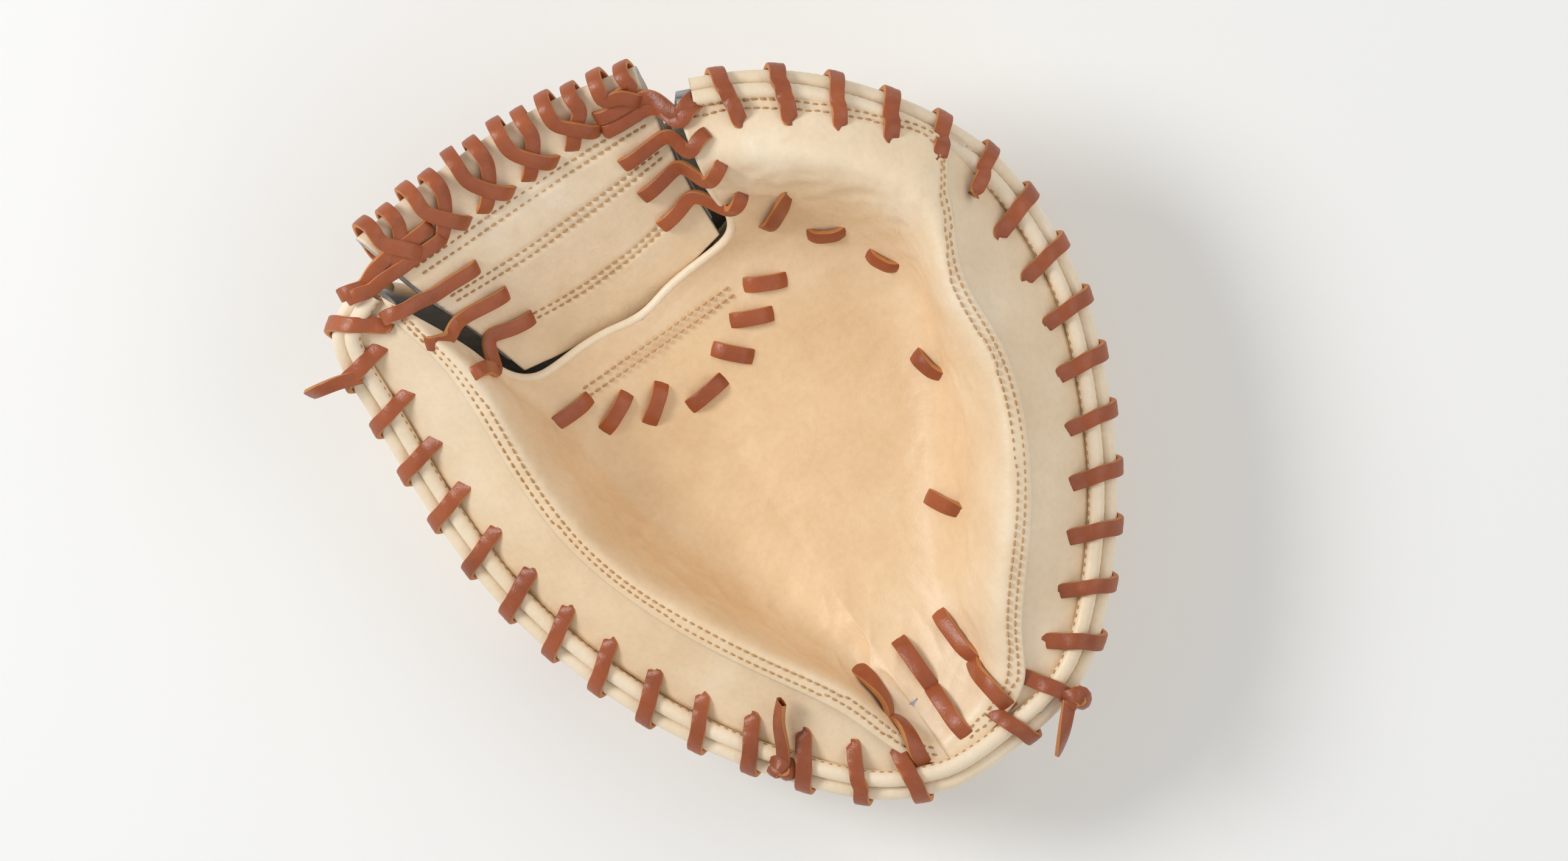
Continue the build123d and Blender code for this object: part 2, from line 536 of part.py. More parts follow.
# Web lacing: side laces to the two stalls, the top lace, the crossed laces behind, and the long tension lace
web_height = height_of(web_patch(rows=50, columns=50))
back_drop = leather + web_spacing + leather + trim_gap + 0.5
for name, half in halves.items():
    body, stall = f"{name}_side", half.palm(seam_place * 0.9, foot_place, rows=30, span=(0.0, 0.02), columns=3).points[0]
    bars = []
    for share in (0.1, 0.38, 0.66, 0.9):
        up_web = 1 - share
        net = spline_weights(np.linspace(0, 1, 4), [0.12 + 0.8 * up_web])[0] @ web_net.transpose(1, 0, 2)
        web_edge = net[1 if half.sign < 0 else -2] * 0.3 + net[0 if half.sign < 0 else -1] * 0.7
        near = stall[int(share * 29)]
        lift = np.array([0, 0, lace_thick / 2 + (3.6 if half.sign < 0 else 6.0)])
        bars.append(flat_bar(web_edge + lift, near + lift, (0, 0, 1)))
    add(f"web_side_lace_{name}", body, *bars)
    top_runs, crosses, long_runs = [], [], []
    for k in range(4):
        x = half.sign * (6.0 + 11.5 * k) - 6.0 * (half.sign < 0)
        level, up = web_height(x, 126)
        centre = np.array([x, 126, level]) + up * (lace_thick / 2 + trim_gap + 0.4)
        lean = np.array([4.0, 9.0, 0]) if k % 2 else np.array([-4.0, 9.0, 0])
        lean[2] = -(lean[0] * up[0] + lean[1] * up[1]) / up[2]
        top_runs.append(flat_bar(centre - lean, centre + lean, up))
    add(f"web_top_lace_{name}", body, *top_runs)
    x = half.sign * 20.6
    level, up = web_height(x, 92)
    for turn, extra in ((1, 0.0), (-1, lace_thick + trim_gap)):
        centre = np.array([x, 92, level]) - up * (back_drop + lace_thick / 2 + extra)
        lean = np.array([6.5 * turn, 7.0, 0])
        lean[2] = -(lean[0] * up[0] + lean[1] * up[1]) / up[2]
        crosses.append(flat_bar(centre - lean, centre + lean, up))
    add(f"web_back_cross_lace_{name}", body, *crosses)
    for first, last in ((3.0, 24.0), (24.6, 44.0)):
        ends = []
        for x in (first * half.sign, last * half.sign):
            level, up = web_height(x, 113)
            ends.append(np.array([x, 113, level]) - up * (back_drop + lace_thick / 2 + 0.2))
        long_runs.append(flat_bar(ends[0], ends[1], (0, -0.5, 1)))
    add(f"web_tension_lace_{name}", body, *long_runs)

# Hand: stall linings, loops for the thumb and little finger, and the plastic stiffeners
stalls = {"thumb": ([(-42, -36, 18), (-66, 14, 20), (-82, 70, 49)], (0.35, 0.94), thumb_room),
          "finger": ([(48, -20, 13), (72, 20, 18), (86, 56, 42)], (0.574, 0.819), finger_room)}
stall_rooms = {}
for name, (centres, axis, (wide, high)) in stalls.items():
    across = (axis[1], -axis[0])
    shares = (1.0, 0.94, 0.66)
    outer = ring_loft(centres, axis, across, [(wide * s, high * (0.5 + 0.5 * s)) for s in shares])
    inner = ring_loft(centres, axis, across, [(wide * s - lining, high * (0.5 + 0.5 * s) - lining) for s in shares])
    add(f"{name}_stall_lining", f"{name}_side", outer - inner)
    free = lining + trim_gap
    stall_rooms[name] = ring_loft(centres, axis, across, [(wide * s - free, high * (0.5 + 0.5 * s) - free) for s in shares])
    half = halves[name]
    guard = half.back(end=0.34, rows=8, span=(0.25, 0.5), columns=14, start=0.12)
    inside = back_leather + 3 * trim_gap
    add(f"{name}_stiffener", f"{name}_side", layer(guard, inside + stiffener, inside))
loops = {"thumb": ((-48, -20, 19.2), (0.35, 0.94), (8.5, 4.5)), "finger": ((66, -4, 16.4), (0.574, 0.819), (8.0, 3.6))}
for name, (centre, axis, (wide, high)) in loops.items():
    across, depth = (axis[1], -axis[0]), 9.0
    spots = [np.array(centre) + np.array([*axis, 0]) * s for s in (-depth, depth)]
    ring = ring_loft(spots, axis, across, [(wide, high)] * 2) \
        - ring_loft([spots[0] - np.array([*axis, 0]), spots[1] + np.array([*axis, 0])], axis, across,
                    [(wide - lining, high - lining)] * 2)
    add("thumb_loop" if name == "thumb" else "little_finger_loop", f"{name}_side", kept(ring, stall_rooms[name]))

# Strap laces on the wrist flaps, and the bare leather patch of the thumb
back_level = {name: height_of(half.back(rows=50, columns=60)) for name, half in halves.items()}
for node, body, spots in (("strap_lace_thumb_flap", "thumb_side", [(-56, -84), (-63, -95)]),
                          ("strap_lace_little_flap", "finger_side", [(-14, -116), (-27, -133)])):
    bars = []
    for x, y in spots:
        level, up = back_level["thumb"](x, y)
        centre = np.array([x, y, level]) - up * (lace_thick / 2 + trim_gap + 0.4)
        along_wrist = np.array([*wrist_axis, 0]) * 6.0
        along_wrist[2] = -(along_wrist @ up) / up[2]
        bars.append(flat_bar(centre - along_wrist, centre + along_wrist, up))
    add(node, body, *bars)
patch_oval = Location((*patch_centre, 0), (0, 0, 20)) * Solid.extrude(Face(Wire([Edge.make_ellipse(
    patch_size[0] / 2, patch_size[1] / 2)])), Vector(0, 0, 60))
patch_sheet = layer(thumb.back(span=(0.35, 0.7), end=0.45), -trim_gap, -trim_gap - 1.4)
add("thumb_patch", "thumb_side", kept(patch_sheet, patch_oval))

# The origin is the middle of the mitt's base
boxes = [solid.bounding_box() for solids in parts.values() for solid in solids]
low = np.min([[box.min.X, box.min.Y, box.min.Z] for box in boxes], axis=0)
high = np.max([[box.max.X, box.max.Y, box.max.Z] for box in boxes], axis=0)
origin = np.array([(low[0] + high[0]) / 2, (low[1] + high[1]) / 2, low[2]])
for name, solids in parts.items():
    moved = [Pos(*-origin) * solid for solid in solids]
    export_step(Compound(children=moved) if len(moved) > 1 else moved[0], f"parts/{name}.step")
print("origin", origin, "size", high - low)
print("smallest volume", min((solid.volume, name) for name, solids in parts.items() for solid in solids))
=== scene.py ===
import bmesh, bpy
import numpy as np
from mathutils import Matrix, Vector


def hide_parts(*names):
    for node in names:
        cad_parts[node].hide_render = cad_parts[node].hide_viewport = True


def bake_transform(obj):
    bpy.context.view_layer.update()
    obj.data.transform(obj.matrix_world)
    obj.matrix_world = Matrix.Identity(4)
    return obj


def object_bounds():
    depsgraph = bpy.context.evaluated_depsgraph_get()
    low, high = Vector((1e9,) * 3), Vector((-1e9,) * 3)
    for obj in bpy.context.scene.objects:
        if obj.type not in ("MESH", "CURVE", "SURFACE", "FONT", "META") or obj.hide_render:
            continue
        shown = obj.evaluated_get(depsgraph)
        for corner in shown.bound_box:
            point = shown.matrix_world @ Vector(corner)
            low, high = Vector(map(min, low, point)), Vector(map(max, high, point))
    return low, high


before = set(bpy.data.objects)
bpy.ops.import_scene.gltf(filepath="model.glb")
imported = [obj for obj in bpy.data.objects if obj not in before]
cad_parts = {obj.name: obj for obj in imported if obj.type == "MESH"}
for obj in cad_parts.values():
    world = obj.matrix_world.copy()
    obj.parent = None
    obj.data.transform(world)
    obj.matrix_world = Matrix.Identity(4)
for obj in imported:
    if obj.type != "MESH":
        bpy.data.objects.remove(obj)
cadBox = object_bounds()

# Millimetres in the maker's own frame: +Y from heel to web, +X to the fingers, +Z out of the pocket.
mitt = dict(originX=19.7073, originY=-13.2656, bendHalfWidth=30.0)
origin = np.array([mitt["originX"], mitt["originY"], 0.0])

shell = dict(
    thumbRim=[(-80, 126, 88), (-101, 114, 80), (-106, 84, 68), (-109, 48, 56), (-109, 8, 51), (-102, -33, 50),
              (-86, -76, 52), (-64, -113, 57), (-39, -143, 62), (-19, -157, 64), (0, -164, 65)],
    thumbSeam=[(-76, 116, 95), (-76, 100, 95), (-72, 76, 92), (-74, 40, 86), (-74, 6, 82), (-68, -24, 81),
               (-56, -55, 81), (-39, -87, 80), (-23, -116, 76), (-14, -140, 70), (0, -155, 66)],
    thumbCrest=[(-71, 106, 96), (-70, 94, 97), (-66, 71, 94), (-68, 37, 89), (-68, 4, 85), (-62, -25, 84),
                (-50, -53, 84), (-34, -83, 83), (-18, -112, 78), (-11, -136, 71), (0, -150, 66)],
    thumbFoot=[(-51, 60, 61), (-50, 50, 54), (-48, 35, 48), (-46, 15, 43), (-43, -9, 40), (-36, -33, 40),
               (-27, -58, 42), (-18, -84, 46), (-11, -108, 52), (-7, -128, 59), (0, -140, 62)],
    fingerRim=[(62, 119, 98), (94, 102, 96), (123, 73, 90), (143, 38, 80), (149, 5, 72), (145, -33, 68),
               (131, -70, 66), (109, -108, 66), (77, -144, 67), (45, -161, 66), (0, -164, 65)],
    fingerSeam=[(54, 101, 103), (79, 85, 106), (105, 60, 106), (124, 32, 101), (111, 0, 100), (107, -32, 98),
                (96, -65, 95), (75, -98, 91), (51, -127, 83), (36, -147, 74), (0, -155, 66)],
    fingerCrest=[(52, 93, 103), (74, 78, 107), (99, 54, 108), (114, 27, 106), (104, -1, 103), (100, -31, 101),
                 (90, -62, 98), (69, -93, 94), (46, -121, 85), (32, -141, 75), (0, -150, 66)],
    fingerFoot=[(49, 61, 61), (59, 55, 56), (74, 42, 51), (87, 20, 46), (89, -3, 44), (79, -29, 43),
                (65, -54, 44), (48, -79, 48), (34, -102, 54), (27, -126, 60), (0, -140, 62)],
    creaseLine=[(0, 53, 47), (0, 46, 44), (0, 36, 40), (0, 22, 37), (0, 6, 35), (0, -12, 34),
                (0, -33, 35), (0, -55, 38), (0, -80, 44), (0, -104, 52), (0, -126, 58)],
    thumbLow=[44, 30, 12, 1, -1, -1, 2, 6, 11, 16, 22],
    fingerLow=[48, 40, 20, 4, -1, -1, -1, 1, 6, 13, 22],
    creaseLow=[26, 17, 8, 1, -1, -1, 1, 4, 5, 7, 10],
    palmPlaces=[0.0, 0.3, 0.36, 0.52, 0.64, 0.82, 1.0], backPlaces=[0.0, 0.12, 0.38, 0.7, 1.0],
    sideInset=13.0, lowInset=40.0, sideShare=0.42, fingerBandStart=0.24,
    leather=3.0, backLeather=2.6, bandLeather=2.6)
binding = dict(radius=3.2, step=5.0, rise=4.7, sides=20, spacing=1.6)
lace = dict(width=6.35, thick=2.4, pitch=22.0, slant=10.2)
thinLace, tailLace = dict(width=5.8, thick=2.1), dict(width=5.4, thick=2.0)


# A mesh object from an array of points in millimetres and an array of four-cornered or three-cornered faces.
def makeMesh(name, points, faces, materials, faceMaterial=None):
    data = bpy.data.meshes.new(name)
    placed = (np.asarray(points, float).reshape(-1, 3) - origin) * 0.001
    placed[:, 2] = np.maximum(placed[:, 2], 0.0)   # leather is pressed flat where the mitt lies
    faces = np.asarray(faces, np.int32)
    data.vertices.add(len(placed))
    data.vertices.foreach_set("co", placed.ravel())
    data.loops.add(faces.size)
    data.loops.foreach_set("vertex_index", faces.ravel())
    data.polygons.add(len(faces))
    data.polygons.foreach_set("loop_start", np.arange(0, faces.size, faces.shape[1], dtype=np.int32))
    if faceMaterial is not None:
        data.polygons.foreach_set("material_index", np.asarray(faceMaterial, np.int32))
    data.polygons.foreach_set("use_smooth", np.ones(len(faces), bool))
    data.update(calc_edges=True)
    data.validate()
    for material in materials:
        data.materials.append(material)
    piece = bpy.data.objects.new(name, data)
    bpy.context.scene.collection.objects.link(piece)
    return piece


# Corner numbers of the faces of a grid; wrap joins the last column to the first.
def gridFaces(rows, columns, wrap=False):
    corner = np.arange(rows * columns).reshape(rows, columns)
    right = np.roll(corner, -1, axis=1) if wrap else corner[:, 1:]
    left = corner if wrap else corner[:, :-1]
    return np.stack([left[:-1], right[:-1], right[1:], left[1:]], axis=-1).reshape(-1, 4)


# Rows that turn values at the knots into a natural cubic spline's values at the places.
def splineRows(knots, places):
    knots, places = np.asarray(knots, float), np.asarray(places, float)
    count, step = len(knots), np.diff(knots)
    left, right = np.eye(count), np.zeros((count, count))
    for k in range(1, count - 1):
        left[k, k - 1:k + 2] = step[k - 1], 2 * (step[k - 1] + step[k]), step[k]
        right[k, k - 1:k + 2] = 6 / step[k - 1], -6 / step[k - 1] - 6 / step[k], 6 / step[k]
    bend = np.linalg.solve(left, right)
    span = np.clip(np.searchsorted(knots, places, side="right") - 1, 0, count - 2)
    low = (knots[span + 1] - places) / step[span]
    high = 1 - low
    rows = np.zeros((len(places), count))
    rows[np.arange(len(places)), span] += low
    rows[np.arange(len(places)), span + 1] += high
    scale = (step[span] ** 2 / 6)[:, None]
    return (rows + (low ** 3 - low)[:, None] * scale * bend[span]
            + (high ** 3 - high)[:, None] * scale * bend[span + 1])


# Points of a guide curve at places from 0, at the web, to 1, at the heel.
def guide(curve, places):
    return splineRows(np.linspace(0, 1, len(curve)), places) @ np.asarray(curve, float)


def unitRows(vectors):
    return vectors / np.maximum(np.linalg.norm(vectors, axis=-1, keepdims=True), 1e-9)


# A smooth curve through a few points, stepped evenly; extra arrays are carried along with it.
def evenly(points, spacing, closed=False, extra=()):
    points = np.asarray(points, float)
    if closed:
        points = np.concatenate([points[-3:], points, points[:4]])
        extra = [np.concatenate([e[-3:], e, e[:4]]) for e in extra]
    run = np.concatenate([[0], np.cumsum(np.linalg.norm(np.diff(points, axis=0), axis=1))])
    first, last = (run[3], run[len(points) - 4]) if closed else (0.0, run[-1])
    count = max(int(round((last - first) / spacing)), 3)
    at = np.linspace(first, last, count + 1)
    rows = splineRows(run, at[:-1] if closed else at)
    line = rows @ points
    return (line, *[rows @ np.asarray(e, float) for e in extra]) if extra else line


# One half's rim, palm surface and back surface, as splines through the guide curves.
class MittHalf:
    def __init__(self, side, sign, bandStart):
        self.sign, self.bandStart = sign, bandStart
        self.rim, self.seam, self.crest, self.foot = [shell[side + part] for part in ("Rim", "Seam", "Crest", "Foot")]
        self.low = shell[side + "Low"]

    def outward(self, s):
        step = guide(self.rim, s + 0.004) - guide(self.rim, s - 0.004)
        return unitRows(-self.sign * np.stack([step[:, 1], -step[:, 0], np.zeros(len(step))], axis=1))

    def backRoll(self, s):
        return guide(self.rim, s) - self.outward(s) * binding["radius"]

    def palmRoll(self, s):
        inward = self.outward(s) * (binding["radius"] + binding["step"])
        return guide(self.rim, s) - inward + np.array([0, 0, binding["rise"]])

    def palmLines(self, s):
        crest, foot, crease = guide(self.crest, s), guide(self.foot, s), guide(shell["creaseLine"], s)
        wall = crest + (foot - crest) * np.array([0.6, 0.6, 0.55])
        floor = foot + (crease - foot) * np.array([0.5, 0.5, 0.72])
        return np.stack([self.palmRoll(s), guide(self.seam, s), crest, wall, foot, floor, crease], axis=1)

    def backLines(self, s):
        rim, crease = self.backRoll(s), guide(shell["creaseLine"], s)
        low = splineRows(np.linspace(0, 1, 11), s) @ np.array(self.low, float)
        crease[:, 2] = splineRows(np.linspace(0, 1, 11), s) @ np.array(shell["creaseLow"], float)
        inward = crease - rim
        reach = np.linalg.norm(inward[:, :2], axis=1)[:, None]
        inward = inward / reach
        side = rim + inward * np.minimum(shell["sideInset"], 0.3 * reach)
        side[:, 2] = low + (rim[:, 2] - low) * shell["sideShare"]
        flat = rim + inward * np.minimum(shell["lowInset"], 0.6 * reach)
        flat[:, 2] = low
        return np.stack([rim, side, flat, (flat + crease) / 2, crease], axis=1)

    # Points at stations s and at even places from start to end across, shape (stations, places, 3).
    def surface(self, lines, knots, s, start, end, places):
        start, end = np.asarray(start)[:, None], np.asarray(end)[:, None]
        across = start + (end - start) * np.linspace(0, 1, places)
        rows = splineRows(knots, across.ravel()).reshape(*across.shape, len(knots))
        return np.einsum("sak,skc->sac", rows, lines(s))

    def clearOfRoll(self, lines, knots, s):
        guides = lines(s)
        run = unitRows(guide(self.rim, s + 0.004) - guide(self.rim, s - 0.004))
        over = guides[:, 1] - guides[:, 0]
        square = over - np.sum(over * run, axis=1, keepdims=True) * run
        return knots[1] * (binding["radius"] + 0.2) / np.linalg.norm(square, axis=1)

    def leatherStarts(self, s):
        clear = self.clearOfRoll(self.palmLines, shell["palmPlaces"], s)
        share = np.clip((s - self.bandStart) / 0.08, 0, 1) if self.sign > 0 else np.ones(len(s))
        return clear + (shell["palmPlaces"][1] - clear) * share * share * (3 - 2 * share)

    def palm(self, s, start, end, places):
        return self.surface(self.palmLines, shell["palmPlaces"], s, start, end, places)

    def back(self, s, start, end, places):
        return self.surface(self.backLines, shell["backPlaces"], s, start, end, places)


# Unit normals of a grid of points, from the cross product of its two runs.
def gridNormals(points, upward=True):
    unit = unitRows(np.cross(np.gradient(points, axis=1), np.gradient(points, axis=0)))
    flip = np.where(unit[..., 2:] < 0, -1.0, 1.0)
    return unit * (flip if upward else -flip)


# Smooth seeded unevenness from -1 to 1: a sum of slanted sine waves with lengths near size.
def ripples(points, size, seed, octaves=3):
    dice = np.random.default_rng(seed)
    total = np.zeros(points.shape[:-1])
    for k in range(octaves * 4):
        way = unitRows(dice.normal(size=3))
        total += np.sin(points @ way * (2 * np.pi / size) * dice.uniform(0.6, 1.8) + dice.uniform(0, 6.28))
    return total / (octaves * 2.2)


# Height and normal over plan points, read from a map of the samples' mean heights.
def field(samples, cell=1.5):
    samples = samples.reshape(-1, 3)
    low = samples[:, :2].min(axis=0) - 15
    shape = tuple(((samples[:, :2].max(axis=0) + 15 - low) / cell).astype(int) + 2)
    place = ((samples[:, :2] - low) / cell + 0.5).astype(int)
    total, count = np.zeros(shape), np.zeros(shape)
    np.add.at(total, (place[:, 0], place[:, 1]), samples[:, 2])
    np.add.at(count, (place[:, 0], place[:, 1]), 1)
    known = count > 0
    level = np.where(known, total / np.maximum(count, 1), 0)
    for _ in range(14):
        near = [(np.roll(level * known, (a, b), (0, 1)), np.roll(known, (a, b), (0, 1)))
                for a in (-1, 0, 1) for b in (-1, 0, 1)]
        amount = np.sum([n[1] for n in near], axis=0)
        mean = np.sum([n[0] for n in near], axis=0) / np.maximum(amount, 1)
        level = np.where(known, level, mean)
        known = known | (amount > 0)
    for _ in range(2):
        level = (level * 4 + sum(np.roll(level, k, a) for k in (-1, 1) for a in (0, 1))) / 8
    slopeX, slopeY = np.gradient(level, cell)

    def read(values, xy):
        spot = np.clip((xy - low) / cell, 0, np.array(shape) - 1.001)
        base = spot.astype(int)
        i, j = base[..., 0], base[..., 1]
        u, v = np.moveaxis(spot - base, -1, 0)
        return (values[i, j] * (1 - u) * (1 - v) + values[i + 1, j] * u * (1 - v)
                + values[i, j + 1] * (1 - u) * v + values[i + 1, j + 1] * u * v)

    def at(xy):
        xy = np.asarray(xy, float)
        height = read(level, xy)
        normal = unitRows(np.stack([-read(slopeX, xy), -read(slopeY, xy), np.ones(xy.shape[:-1])], axis=-1))
        return np.concatenate([xy, height[..., None]], axis=-1), normal
    return at


# Materials
# An sRGB hex colour as linear values.
def linear(code):
    parts = np.array([int(code[k:k + 2], 16) / 255 for k in (1, 3, 5)])
    return (*np.where(parts <= 0.04045, parts / 12.92, ((parts + 0.055) / 1.055) ** 2.4), 1.0)


# A node of that kind, with its settings, links from other nodes' sockets to its inputs, and a ramp's colour stops.
def addNode(tree, kind, settings=None, links=None, stops=()):
    node = tree.nodes.new(kind)
    for key, value in (settings or {}).items():
        if isinstance(key, int) or key in node.inputs.keys():
            node.inputs[key].default_value = value
        else:
            setattr(node, key, value)
    for key, source in (links or {}).items():
        tree.links.new(source, node.inputs[key])
    if stops:
        ramp = node.color_ramp.elements
        while len(ramp) < len(stops):
            ramp.new(0.5)
        for element, (place, colour) in zip(ramp, stops):
            element.position, element.color = place, colour
    return node


# Grain leather: cloudy tones, pebble cells of the grain's size in mm, broad soft creases, and optional painted shade
# that darkens the colour towards a pocket's centre.
def leatherMaterial(name, tones, roughness, grain=1.1, pore=0.35, crease=9.0, bump=0.35, pocket=None, sheen=0.0):
    material = bpy.data.materials.new(name)
    material.use_nodes = True
    tree = material.node_tree
    shader = tree.nodes["Principled BSDF"]
    shader.inputs["Roughness"].default_value = roughness
    shader.inputs["IOR"].default_value = 1.5
    if sheen:
        shader.inputs["Sheen Weight"].default_value = sheen
    where = addNode(tree, "ShaderNodeTexCoord").outputs["Object"]
    multiply = {"data_type": "RGBA", "blend_type": "MULTIPLY"}
    cloud = addNode(tree, "ShaderNodeTexNoise", {"Scale": 1000 / 38, "Detail": 5.0, "Roughness": 0.62},
                    {"Vector": where})
    tone = addNode(tree, "ShaderNodeValToRGB", links={"Fac": cloud.outputs["Fac"]},
                   stops=[(place, linear(code)) for place, code in zip((0.3, 0.55, 0.75), tones)])
    fleck = addNode(tree, "ShaderNodeTexNoise", {"Scale": 1000 / 2.4, "Detail": 3.0}, {"Vector": where})
    speck = addNode(tree, "ShaderNodeValToRGB", links={"Fac": fleck.outputs["Fac"]},
                    stops=[(0.3, (0.86, 0.84, 0.80, 1)), (0.6, (1, 1, 1, 1))])
    colour = addNode(tree, "ShaderNodeMix", {**multiply, 0: 0.25},
                     {6: tone.outputs["Color"], 7: speck.outputs["Color"]}).outputs[2]
    # Painted shade: the colour is multiplied darker towards the pocket's centre, standing in for the shade that falls
    # in its hollow.
    if pocket:
        centre, radius, pocketShadeTint = pocket
        shift = addNode(tree, "ShaderNodeMapping",
                        {"Location": tuple(-np.array(centre) / radius), "Scale": (1 / radius,) * 3},
                        {"Vector": where})
        ball = addNode(tree, "ShaderNodeTexGradient", {"gradient_type": "SPHERICAL"},
                       {"Vector": shift.outputs["Vector"]})
        pocketShadeRamp = addNode(tree, "ShaderNodeValToRGB", links={"Fac": ball.outputs["Fac"]},
                       stops=[(0.0, (1, 1, 1, 1)), (0.55, linear(pocketShadeTint))])
        colour = addNode(tree, "ShaderNodeMix", {**multiply, 0: 1.0},
                         {6: colour, 7: pocketShadeRamp.outputs["Color"]}).outputs[2]
    tree.links.new(colour, shader.inputs["Base Color"])
    cells = addNode(tree, "ShaderNodeTexVoronoi", {"Scale": 1000 / grain, "Randomness": 1.0}, {"Vector": where})
    fine = addNode(tree, "ShaderNodeTexNoise", {"Scale": 1000 / pore, "Detail": 2.0}, {"Vector": where})
    folds = addNode(tree, "ShaderNodeTexNoise",
                    {"Scale": 1000 / crease, "Detail": 6.0, "Roughness": 0.55, "Distortion": 0.8}, {"Vector": where})
    relief = {}
    for strength, depth, height in ((bump, 0.0009, folds.outputs["Fac"]),
                                    (bump * 0.8, 0.00016, cells.outputs["Distance"]),
                                    (bump * 0.6, 0.00008, fine.outputs["Fac"])):
        raised = addNode(tree, "ShaderNodeBump", {"Strength": strength, "Distance": depth},
                         {"Height": height, **relief})
        relief = {"Normal": raised.outputs["Normal"]}
    tree.links.new(relief["Normal"], shader.inputs["Normal"])
    return material


print("materials")
# The palm steerhide carries painted pocket shade, darker towards the middle of the pocket.
steerhide = leatherMaterial("steerhide oiled drum dyed", ("#EBD2AF", "#F3DDBD", "#F8E7CD"), 0.46,
                            pocket=(((2 - origin[0]) / 1000, (-20 - origin[1]) / 1000, 0.03), 0.13, "#FBEEDC"))
backHide = leatherMaterial("steerhide back panel oiled", ("#ECD5B4", "#F4E0C3", "#F9E9D2"), 0.48, crease=12.0)
bindingHide = leatherMaterial("cowhide rolled binding", ("#EDD8B6", "#F4E2C6", "#FAECD6"), 0.42, grain=0.8,
                              crease=5.0)
liningHide = leatherMaterial("deerskin lining brushed", ("#C9B390", "#D6C2A0", "#DFCDAE"), 0.75, crease=6.0,
                             sheen=0.15)
rawEdge = leatherMaterial("cut leather edge chrome tanned", ("#9FA4AA", "#B4B6B8", "#C9C7C2"), 0.8, grain=0.5,
                          crease=3.0)
laceFace = leatherMaterial("rawhide lace grain side waxed", ("#8A4526", "#A4552F", "#B5653A"), 0.36, grain=0.7,
                           crease=4.0)
laceEdge = leatherMaterial("rawhide lace cut edge", ("#B4723C", "#C88549", "#D8995C"), 0.65, grain=0.5, crease=3.0)
feltWool = leatherMaterial("wool felt pressed", ("#BDB7A8", "#C9C3B4", "#D4CEC0"), 0.95, grain=0.6, crease=3.0,
                           sheen=0.3)
suedeGrey = leatherMaterial("suede split brushed grey", ("#7C8086", "#8D9196", "#A0A3A6"), 0.92, grain=0.5,
                            crease=4.0, sheen=0.35)
stiffenerPlastic = leatherMaterial("polyethylene sheet die cut", ("#2A2A2C", "#303033", "#38383B"), 0.55, grain=3.0,
                                   crease=20.0, bump=0.1)
patchRed = leatherMaterial("patch leather dyed red", ("#8E1B1E", "#A32426", "#B23230"), 0.4, grain=0.8, crease=6.0)
thread = leatherMaterial("nylon thread bonded tan", ("#B98850", "#C99A62", "#D8AE7A"), 0.5, grain=0.35, pore=0.2,
                         crease=2.0, bump=0.6)


# Bakes a piece's placement into its points and hides the frame's parts that it stands for.
def finishPiece(piece, nodes=()):
    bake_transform(piece)
    if nodes:
        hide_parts(*nodes)
    return piece


def thicken(piece, thick, rim=None, offset=-1.0):
    solid = piece.modifiers.new("thickness", "SOLIDIFY")
    solid.thickness, solid.offset, solid.use_even_offset = thick / 1000, offset, False
    if rim is not None:
        solid.material_offset_rim = rim
    return piece


def both(*names):
    return [f"{name}_{side}" for name in names for side in ("thumb", "finger")]


# The side and up directions along a path, square to it.
def frames(path, up):
    run = unitRows(np.gradient(path, axis=0))
    side = unitRows(np.cross(run, up))
    return side, np.cross(side, run)


# Faces of a tube of rings, and of the fans that close it at the two points that follow the rings.
def tubeFaces(rings, around):
    first = np.arange(around)
    last, tip = first + (rings - 1) * around, np.full(around, rings * around)
    fans = [np.stack([np.roll(first, -1), first, tip, tip], axis=1),
            np.stack([last, np.roll(last, -1), tip + 1, tip + 1], axis=1)]
    return gridFaces(rings, around, wrap=True), np.concatenate(fans)


# Points and faces of several parts as one; each part's corner numbers move up past those before it.
def merged(parts):
    shift = np.cumsum([0] + [len(part[0]) for part in parts[:-1]])
    return (np.concatenate([part[0] for part in parts]),
            np.concatenate([part[1] + base for part, base in zip(parts, shift)]))


# Merges doubled corners of the end fans and turns all faces outwards.
def cleanMesh(piece, outward=True):
    work = bmesh.new()
    work.from_mesh(piece.data)
    bmesh.ops.remove_doubles(work, verts=work.verts, dist=1e-7)
    bmesh.ops.dissolve_degenerate(work, edges=work.edges, dist=1e-8)
    if outward:
        bmesh.ops.recalc_face_normals(work, faces=work.faces)
    work.to_mesh(piece.data)
    work.free()
    return piece


# A flat strip's outline with slightly rounded corners; the first and last points lie on its wide faces.
def laceSection(width, thick):
    w, t, r = width / 2, thick / 2, 0.45
    return np.array([(-w + r, t), (0, t + 0.15), (w - r, t), (w - r * 0.3, t - r * 0.3), (w, t - r), (w, -t + r),
                     (w - r * 0.3, -t + r * 0.3), (w - r, -t), (0, -t - 0.15), (-w + r, -t),
                     (-w + r * 0.3, -t + r * 0.3), (-w, -t + r), (-w, t - r), (-w + r * 0.3, t - r * 0.3)])


laceSideFaces = (3, 4, 5, 10, 11, 12)


